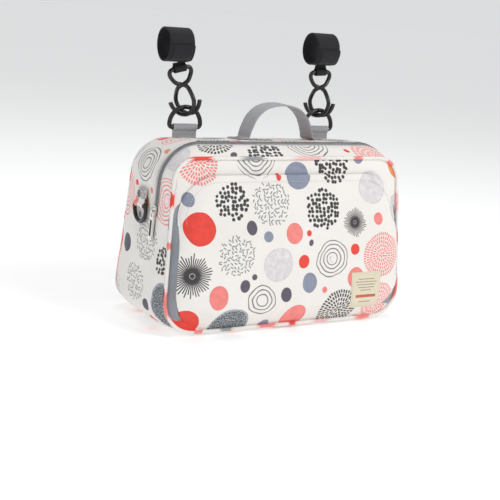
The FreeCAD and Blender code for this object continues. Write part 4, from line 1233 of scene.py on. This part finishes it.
grid = fill_outline(POCKET_LOOP)
points = pocket_points(grid[..., 0], grid[..., 1])
split_row = int(np.abs(points[COLS // 2, :, 2] - FOLD).argmin())
while points[:, split_row, 2].max() > FOLD + 0.4:
    split_row -= 1
for tag, rows, motion in (("lower", slice(0, split_row + 1), FLAP_FOLD),
                          ("upper", slice(split_row, None), POCKET_FOLD)):
    face = sheet("pocket_panel_%s_cloth" % tag, points[:, rows], grid[:, rows], 1.3)
    print_cloth(face, FRONT_PRINT, M_BELLOWS)
    declare(face, "printed", motion, "pocket_panel_" + tag)

# hem: a turned band along the pocket's edge above this level
HEM_LEVEL = 130.0
HEM_ACROSS = np.array([-0.6, 0.0, 1.2, 3.0, 5.2, 7.4, 8.6])          # inwards from the edge
HEM_LIFT = np.array([0.1, 0.55, 0.75, 0.7, 0.65, 0.55, 0.15])        # over the pocket's face
HEM_STITCH_COLUMN = 5
edge = POCKET_LOOP[POCKET_LOOP[:, 1] > HEM_LEVEL]
tangent = unit(np.gradient(edge, axis=0))
inward = np.stack([-tangent[:, 1], tangent[:, 0]], -1)               # the loop is anticlockwise
grid = edge[:, None] + inward[:, None] * HEM_ACROSS[None, :, None]
points, normals = pocket_surface(grid[..., 0], grid[..., 1])
points = points + normals * HEM_LIFT[None, :, None]
hem = print_cloth(sheet("pocket_hem_band", points, grid, 1.0), FRONT_PRINT)
declare(hem, "printed", POCKET_FOLD, "pocket_hem")
row = stitches("pocket_hem_stitching", points[:, HEM_STITCH_COLUMN],
               normals[:, HEM_STITCH_COLUMN], M_THREAD,
               pitch=3.2, length=2.3, width=0.5, lift=0.25)
declare(row, "printed", POCKET_FOLD)

# bellows: plain grey strips between the seam and the pocket's sides
BELLOWS_BASE = FRONT.outline(4.4, radii=(36, 28))
BELLOWS_TOP = 143
BELLOWS_START = LOOP_COUNTS[0] + 3
below_top = np.nonzero(POCKET_LOOP[:TOP_STATION, 1] < BELLOWS_TOP)[0]
BELLOWS_END = int(below_top[below_top > BELLOWS_START].max())
for side, inward in (("left", 1), ("right", -1)):
    ks = np.arange(BELLOWS_START, BELLOWS_END + 1)
    if side == "left":
        ks = STATIONS - ks
    base = FRONT.point(BELLOWS_BASE[ks, 0], BELLOWS_BASE[ks, 1], 0.9)
    lip = FRONT.point(POCKET_LOOP[ks, 0], POCKET_LOOP[ks, 1],
                      np.maximum(POCKET_EDGE[ks] - 0.9, 1.0))
    t = np.linspace(0, 1, 9)
    grid = base[:, None] * (1 - t)[None, :, None] + lip[:, None] * t[None, :, None]
    bow = np.sin(t * math.pi)[None]
    span = np.linalg.norm(lip - base, axis=1)[:, None]
    ripple = 0.35 * np.sin(np.arange(len(ks)) * 0.37)[:, None]
    grid[..., 0] += inward * (0.16 * span * bow + ripple * bow)
    fabric = np.stack(np.broadcast_arrays(t[None] * 12.0, run_length(lip)[:, None]), -1)
    at_fold = FOLD_STATION - BELLOWS_START
    for tag, part, motion in (("lower", slice(0, at_fold + 1), FLAP_FOLD),
                              ("upper", slice(at_fold, None), BELLOWS_FOLD)):
        strip = sheet("pocket_bellows_%s_%s" % (tag, side), grid[part], fabric[part], 0.8,
                      [M_BELLOWS])
        declare(strip, "grey_cloth", motion, "pocket_bellows_" + tag)

# ------------------------------------------------------------------ label
LABEL_W, LABEL_H = 44.0, 46.0
LABEL_X, LABEL_S = 103.0, 42.0              # its middle on the front wall


def ring_inside(grid):
    """The points one step in from a grid's border, in order."""
    return np.vstack([grid[1:-1, 1], grid[-2, 2:-1], grid[1:-2, -2][::-1], grid[1, 1:-2][::-1]])


x, s = np.meshgrid(np.linspace(-LABEL_W / 2, LABEL_W / 2, 23),
                   np.linspace(-LABEL_H / 2, LABEL_H / 2, 21), indexing="ij")
points, normals = pocket_surface(x + LABEL_X, s + LABEL_S)
for _ in range(5):
    points[1:-1, 1:-1] = 0.5 * points[1:-1, 1:-1] + 0.125 * (
        points[:-2, 1:-1] + points[2:, 1:-1] + points[1:-1, :-2] + points[1:-1, 2:])
from_edge = np.minimum(np.minimum(x + LABEL_W / 2, LABEL_W / 2 - x),
                       np.minimum(s + LABEL_H / 2, LABEL_H / 2 - s))
points = points + normals * (0.62 + 0.25 * np.clip(from_edge / 3, 0, 1))[..., None]
label = sheet("label_cloth", points, np.stack([x, s], -1), 0.5, [M_LABEL])
declare(label, "label", FLAP_FOLD, "label")
row = stitches("label_stitching", ring_inside(points), ring_inside(normals), M_THREAD,
               pitch=2.6, length=1.8, width=0.4, lift=0.2)
declare(row, "label", FLAP_FOLD)

# ------------------------------------------------------------------ tabs and straps
SIDES = (("left", -1), ("right", 1))
WEB_THICK = 1.5
WEB_GAP = WEB_THICK / 2 + 0.04              # from the middle of a neck to each leg
BAR_CLEARANCE = 0.3


def fold_radius(bar_radius):
    return bar_radius + BAR_CLEARANCE + WEB_THICK / 2


def loop_path(centre, aside, ahead, radius, drop):
    """Webbing folded round a rod: up one leg, round and down the other.
    ahead points from the neck to the rod, and drop is how far behind it the legs end."""
    open_angle = math.asin(min(WEB_GAP / radius, 1))
    neck = -radius * math.cos(open_angle) - 1.2
    leg = -drop + (neck + drop) * np.linspace(0, 1, 12)
    angle = (-math.pi / 2 - open_angle
             - np.linspace(0, 1, 26) * (2 * math.pi - 2 * open_angle))
    flat = ([(-WEB_GAP, v) for v in leg]
            + [(radius * math.cos(a), radius * math.sin(a)) for a in angle]
            + [(WEB_GAP, v) for v in leg[::-1]])
    flat = smooth_path(np.array(flat), 3)
    return centre + flat[:, :1] * np.asarray(aside, float) + flat[:, 1:] * np.asarray(ahead, float)


def strip_level(y):
    """Height of the flat rear top strip at y."""
    return CREST_HEIGHT + (REAR_HEIGHT - CREST_HEIGHT) * ((y - ZIP_Y) / (REAR_HEAD_Y - ZIP_Y))


TOP_BAR = (98.0, 50.0, 228.0)               # bar of the right top ring
SIDE_BAR = (170.1784, 8.0, 141.0)           # bar of the right side ring
TAB_PRINT = [disc(36, 78, 13, INK, POLKA, pitch=5.4), disc(50, 92, 9, CORAL),
             disc(34, 110, 11, INK, DASHES, count=4, pitch=1.4),
             disc(48, 64, 6, RED), disc(44, 104, 5, PLUM)]
TAB_FABRIC_SHIFT = np.array([40, 60, 0])


def top_tab(side, sign):
    """Webbing that stands up from the rear strip round the top ring's bar."""
    x, y, z = centre = np.array(TOP_BAR) * (sign, 1, 1)
    path = loop_path(centre, (0, 1, 0), (0, 0, 1), fold_radius(2.8),
                     z - strip_level(48.0) + 2.0)
    tab = ribbon("top_tab_%s_webbing" % side, path, (1, 0, 0), 32.0, WEB_THICK, M_WEB, 14)
    declare(tab, "grey_webbing", "root", "top_tab_" + side)
    rows = []
    for level in (218.6, 220.4):
        path = np.array([[x + t, y - WEB_THICK - 0.05, level]
                         for t in np.linspace(-14.5, 14.5, 14)])
        rows.append(stitches("stitch_row", path, np.broadcast_to((0, -1.0, 0), path.shape),
                             M_GREY_THREAD, pitch=2.4, length=1.7, width=0.42, lift=0.1))
    declare(joined("top_tab_%s_stitching" % side, rows), "grey_webbing", "root")


def side_tab(side, sign):
    """Folded strip of the print that holds the side ring."""
    centre = np.array(SIDE_BAR) * (sign, 1, 1)
    lean = math.atan2((CREST_BOTTOM - CREST_TOP) / 2, CREST_HEIGHT)
    up = np.array([-sign * math.sin(lean), 0, math.cos(lean)])
    out = np.array([sign * math.cos(lean), 0, math.sin(lean)])
    path = loop_path(centre, out, -up, fold_radius(2.5), 19.5)
    tab = ribbon("side_tab_%s_cloth" % side, path, (0, 1, 0), 24.0, WEB_THICK, M_PRINT, 12)
    shifted = (read_fabric(tab) + TAB_FABRIC_SHIFT).ravel().astype(np.float32)
    tab.data.attributes["fabric"].data.foreach_set("vector", shifted)
    print_cloth(tab, TAB_PRINT)
    declare(tab, "printed", "root", "side_tab_" + side)
    seam = box_stitch("side_tab_%s_stitching" % side,
                      centre + up * 12.5 + out * (WEB_THICK + 0.05),
                      np.array([0.0, 1.0, 0.0]), up, out, 10.0, 5.2, M_THREAD)
    declare(seam, "printed", "root")


for side, sign in SIDES:
    top_tab(side, sign)
    side_tab(side, sign)

# each side: middle of the rod in the hanger loop, middle of the bar strap, lean in degrees
HANGERS = {"left": ((-109.661, 50, 299.768), (-116.676, 50, 327.907), 14.0),
           "right": ((94.498, 50, 303.078), (92.475, 50, 332.007), 4.0)}
HANGER_REACH = 29.0                         # from the rod to the strap's middle
BAR_RADIUS = 18.6                           # inside of the bar strap


def around_bar(centre, radius, angle):
    x, y, z = centre
    return np.stack([np.full(len(angle), x), y + radius * np.sin(angle),
                     z + radius * np.cos(angle)], -1)


for side, sign in SIDES:
    rod, centre, lean = HANGERS[side]
    lean = math.radians(lean)
    up = np.array([-math.sin(lean), 0, math.cos(lean)])
    across = np.array([math.cos(lean), 0, math.sin(lean)])
    neck = HANGER_REACH - BAR_RADIUS - 2.0 - 0.75 - math.sin(lean) * 8
    path = loop_path(rod, (0, 1, 0), -up, fold_radius(2.7) + 0.75, neck + 1.7)
    hanger = ribbon("hanger_loop_%s_webbing" % side, path, across, 16.0, WEB_THICK,
                    M_BLACK_WEB, 10)
    declare(hanger, "black_webbing", "strap_" + side, "hanger_loop_" + side)
    # one full turn round the bar, the free end laid over the outside
    angle = np.radians(np.linspace(-150, 210 + 62, 96))
    degrees = np.degrees(angle)
    over = ramp(196, 222, degrees)
    radius = (BAR_RADIUS + 1.0 + over * 2.25
              + 0.25 * np.sin(angle * 3 + sign) * (1 - over))
    strap = ribbon("bar_strap_%s_webbing" % side, around_bar(centre, radius, angle),
                   (1, 0, 0), 32.0, 1.9, M_BLACK_WEB, 14)
    declare(strap, "black_webbing", "strap_" + side, "bar_strap_" + side)
    end = (degrees > 222) & (degrees < 268)
    face = ribbon("bar_strap_%s_hookface" % side,
                  around_bar(centre, radius[end] + 1.35, angle[end]),
                  (1, 0, 0), 26.0, 0.9, M_HOOK_FACE, 12)
    declare(face, "black_webbing", "strap_" + side)

# ------------------------------------------------------------------ grab handle
# one length of webbing, arched, its ends sewn down on the rear strip
HANDLE_X, HANDLE_Y = 13.0, 14.0
HANDLE_TOP = 265.098
HANDLE_THICK = 1.8
HANDLE_HALF = 47.0 - HANDLE_THICK / 2       # half the span between the feet
handle_base = strip_level(HANDLE_Y)
rise = HANDLE_TOP - (handle_base + 3.4)
# x from the middle and height over the strip, from the left foot to the top of the arch
half_arch = [
    (-HANDLE_HALF - 15.5, 1.3), (-HANDLE_HALF - 9.0, 1.3), (-HANDLE_HALF - 3.6, 1.5),
    (-HANDLE_HALF - 0.6, 3.4), (-HANDLE_HALF + 0.6, 8.0), (-HANDLE_HALF * 0.93, rise * 0.36),
    (-HANDLE_HALF * 0.80, rise * 0.64), (-HANDLE_HALF * 0.56, rise * 0.88),
    (-HANDLE_HALF * 0.28, rise * 0.985), (0, rise + 0.6)]
curve = catmull(np.array(half_arch + [(-x, z) for x, z in half_arch[::-1][1:]]))
path = np.stack([HANDLE_X + curve[:, 0], HANDLE_Y + 0.4 * np.sin(curve[:, 0] / 21.0),
                 handle_base + HANDLE_THICK / 2 + curve[:, 1]], -1)
strip_lean = math.atan2(CREST_HEIGHT - REAR_HEIGHT, REAR_HEAD_Y - ZIP_Y)
down_strip = np.array([0, math.cos(strip_lean), -math.sin(strip_lean)])
strip_normal = np.array([0, -down_strip[2], down_strip[1]])
level = ramp(2.0, 14.0, curve[:, 1])[:, None]     # the feet lie on the strip, the arch is level
across = down_strip[None] * (1 - level) + np.array([0, 1.0, 0])[None] * level
handle = ribbon("handle_webbing", path, across, 30.0, HANDLE_THICK, M_WEB, 18)
declare(handle, "grey_webbing", HANDLE_FOLD,
        "handle_strap", "handle_foot_left", "handle_foot_right")
for side, sign in SIDES:
    foot = np.array([HANDLE_X + sign * (HANDLE_HALF + 9.3), HANDLE_Y, handle_base])
    seam = box_stitch("handle_foot_%s_stitching" % side, foot + strip_normal * 3.15,
                      np.array([1.0, 0.0, 0.0]), down_strip, strip_normal, 4.4, 12.0,
                      M_GREY_THREAD, lift=0.05)
    declare(seam, "grey_webbing", "root")

# ------------------------------------------------------------------ pocket inside the rear wall
POCKET_FLOOR, MESH_TOP = 14.4, 118.0
BAND_LOW, BAND_HIGH = 117.4, 130.6
BEHIND = np.array([0.0, 200.0, 105.0])      # both sheets face away from here, into the bag
box_lo, box_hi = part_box("inner_pocket")
half_width = (box_hi[0] - box_lo[0]) / MM / 2
x, s = np.meshgrid(np.linspace(-half_width + 1, half_width - 1, 70),
                   np.linspace(POCKET_FLOOR, MESH_TOP, 34), indexing="ij")
ripple = (0.5 * np.sin(x * 0.21) * ramp(70, 118, s)
          + 0.9 * ramp(14, 60, s) * (1 - (x / half_width) ** 4))
mesh = sheet("inner_pocket_mesh", REAR.point(x, s, -8.2 - np.abs(ripple)),
             np.stack([x, s], -1), 0.6, [M_MESH], inside=BEHIND)
declare(mesh, "mesh_cloth", "root", "inner_pocket")

x, s = np.meshgrid(np.linspace(-half_width + 4.2, half_width - 4.2, 150),
                   np.linspace(BAND_LOW, BAND_HIGH, 9), indexing="ij")
# sin() of the last row can round below zero, so the band's own height is kept as 13.2
gathers = (0.55 * np.abs(np.sin(x * 0.55 + 0.4 * np.sin(x * 0.13)))
           * np.sin((s - BAND_LOW) / 13.2 * math.pi) ** 0.5)
elastic = sheet("inner_pocket_elastic_band", REAR.point(x, s, -8.6 - gathers),
                np.stack([s, x], -1), 1.0, [M_ELASTIC], inside=BEHIND)
declare(elastic, "elastic", "root", "inner_pocket_elastic")

# ------------------------------------------------------------------ hard parts of the model
HARD_PARTS = {                              # material, slot, angle of a sharp edge in degrees
    "base_board": (M_BOARD, "board", 30),
    "zipper_slider": (M_NICKEL, "zip_metal", 38),
    "zipper_pull": (M_NICKEL, "zip_metal", 38),
    # the pull's inlay gets the near-black painted reflection of dark surroundings in the chrome
    "zipper_pull_inlay": (M_PULL_PAINTED_REFLECTION, "pull_inlay", 38),
}
for part in ("top_ring", "side_ring", "stroller_hook"):
    for side, _ in SIDES:
        HARD_PARTS["%s_%s" % (part, side)] = (M_BLACK, "black_plastic", 38)
for name, ob in frame["nodes"].items():
    if name in HARD_PARTS:
        material, slot, sharp = HARD_PARTS[name]
        polygons = ob.data.polygons
        ob.data.materials.clear()
        ob.data.materials.append(material)
        polygons.foreach_set("material_index", np.zeros(len(polygons), np.int32))
        polygons.foreach_set("use_smooth", [True] * len(polygons))
        ob.data.set_sharp_from_angle(angle=math.radians(sharp))

# ------------------------------------------------------------------ stage
bpy.ops.mesh.primitive_plane_add(size=60, location=(0, 0, -0.0032))
floor = bpy.context.object
floor.name = "floor"
material, g, shader = new_material("floor")
g.feed(shader, {"Base Color": (0.86, 0.86, 0.86, 1), "Roughness": 0.85,
                "Emission Color": (1, 1, 1, 1), "Emission Strength": 0.33})
floor.data.materials.append(material)

# the backdrop looks brighter to the camera than the light it gives
WORLD_LIGHT, CAMERA_EXTRA = 0.46, 0.27
world = bpy.context.scene.world or bpy.data.worlds.new("world")
bpy.context.scene.world = world
world.use_nodes = True
g = Graph(world.node_tree)
background = world.node_tree.nodes.get("Background") or g.node("ShaderNodeBackground")
g.feed(background, {"Color": (0.97, 0.985, 1.0, 1), "Strength": WORLD_LIGHT})
camera_ray = g.out(g.node("ShaderNodeLightPath"), "Is Camera Ray")
g.feed(background, {"Strength": g.scaled(camera_ray, CAMERA_EXTRA, WORLD_LIGHT, clamp=False)})


def area_light(name, location, target, size, power, colour=(1, 1, 1)):
    light = bpy.data.lights.new(name, "AREA")
    light.shape = "RECTANGLE"
    light.size, light.size_y = size
    light.energy = power
    light.color = colour
    ob = bpy.data.objects.new(name, light)
    bpy.context.scene.collection.objects.link(ob)
    ob.location = location
    toward = Vector(target) - Vector(location)
    ob.rotation_euler = toward.to_track_quat("-Z", "Y").to_euler()


area_light("key", location=(0.9, -1.5, 1.45), target=(0, 0, 0.12), size=(0.9, 0.9),
           power=20.5, colour=(1.0, 0.985, 0.965))
area_light("fill", location=(-1.9, -0.6, 0.9), target=(0, 0, 0.12), size=(1.2, 1.0),
           power=5.0, colour=(0.96, 0.98, 1.0))
area_light("top", location=(-0.1, 0.5, 1.7), target=(0, 0, 0.1), size=(1.2, 1.2), power=8)

# ------------------------------------------------------------------ camera
YAW, PITCH, ROLL = math.radians(30.3), math.radians(13.7), math.radians(4.7)
EYE = Vector((-0.656, -1.091, 0.381))
level_right = Vector((math.cos(YAW), -math.sin(YAW), 0))
ahead = Vector((math.sin(YAW) * math.cos(PITCH), math.cos(YAW) * math.cos(PITCH),
                -math.sin(PITCH)))
level_up = level_right.cross(ahead)
right = level_right * math.cos(ROLL) + level_up * math.sin(ROLL)
up = level_up * math.cos(ROLL) - level_right * math.sin(ROLL)
lens = bpy.data.cameras.new("camera")
lens.lens = 73.6
lens.shift_y = 0.010
lens.sensor_width = 36.0
lens.clip_start = 0.02
camera = bpy.data.objects.new("camera", lens)
bpy.context.scene.collection.objects.link(camera)
camera.matrix_world = Matrix((*zip(right, up, -ahead, EYE), (0, 0, 0, 1)))
bpy.context.scene.camera = camera
bpy.context.scene.view_settings.view_transform = "Standard"
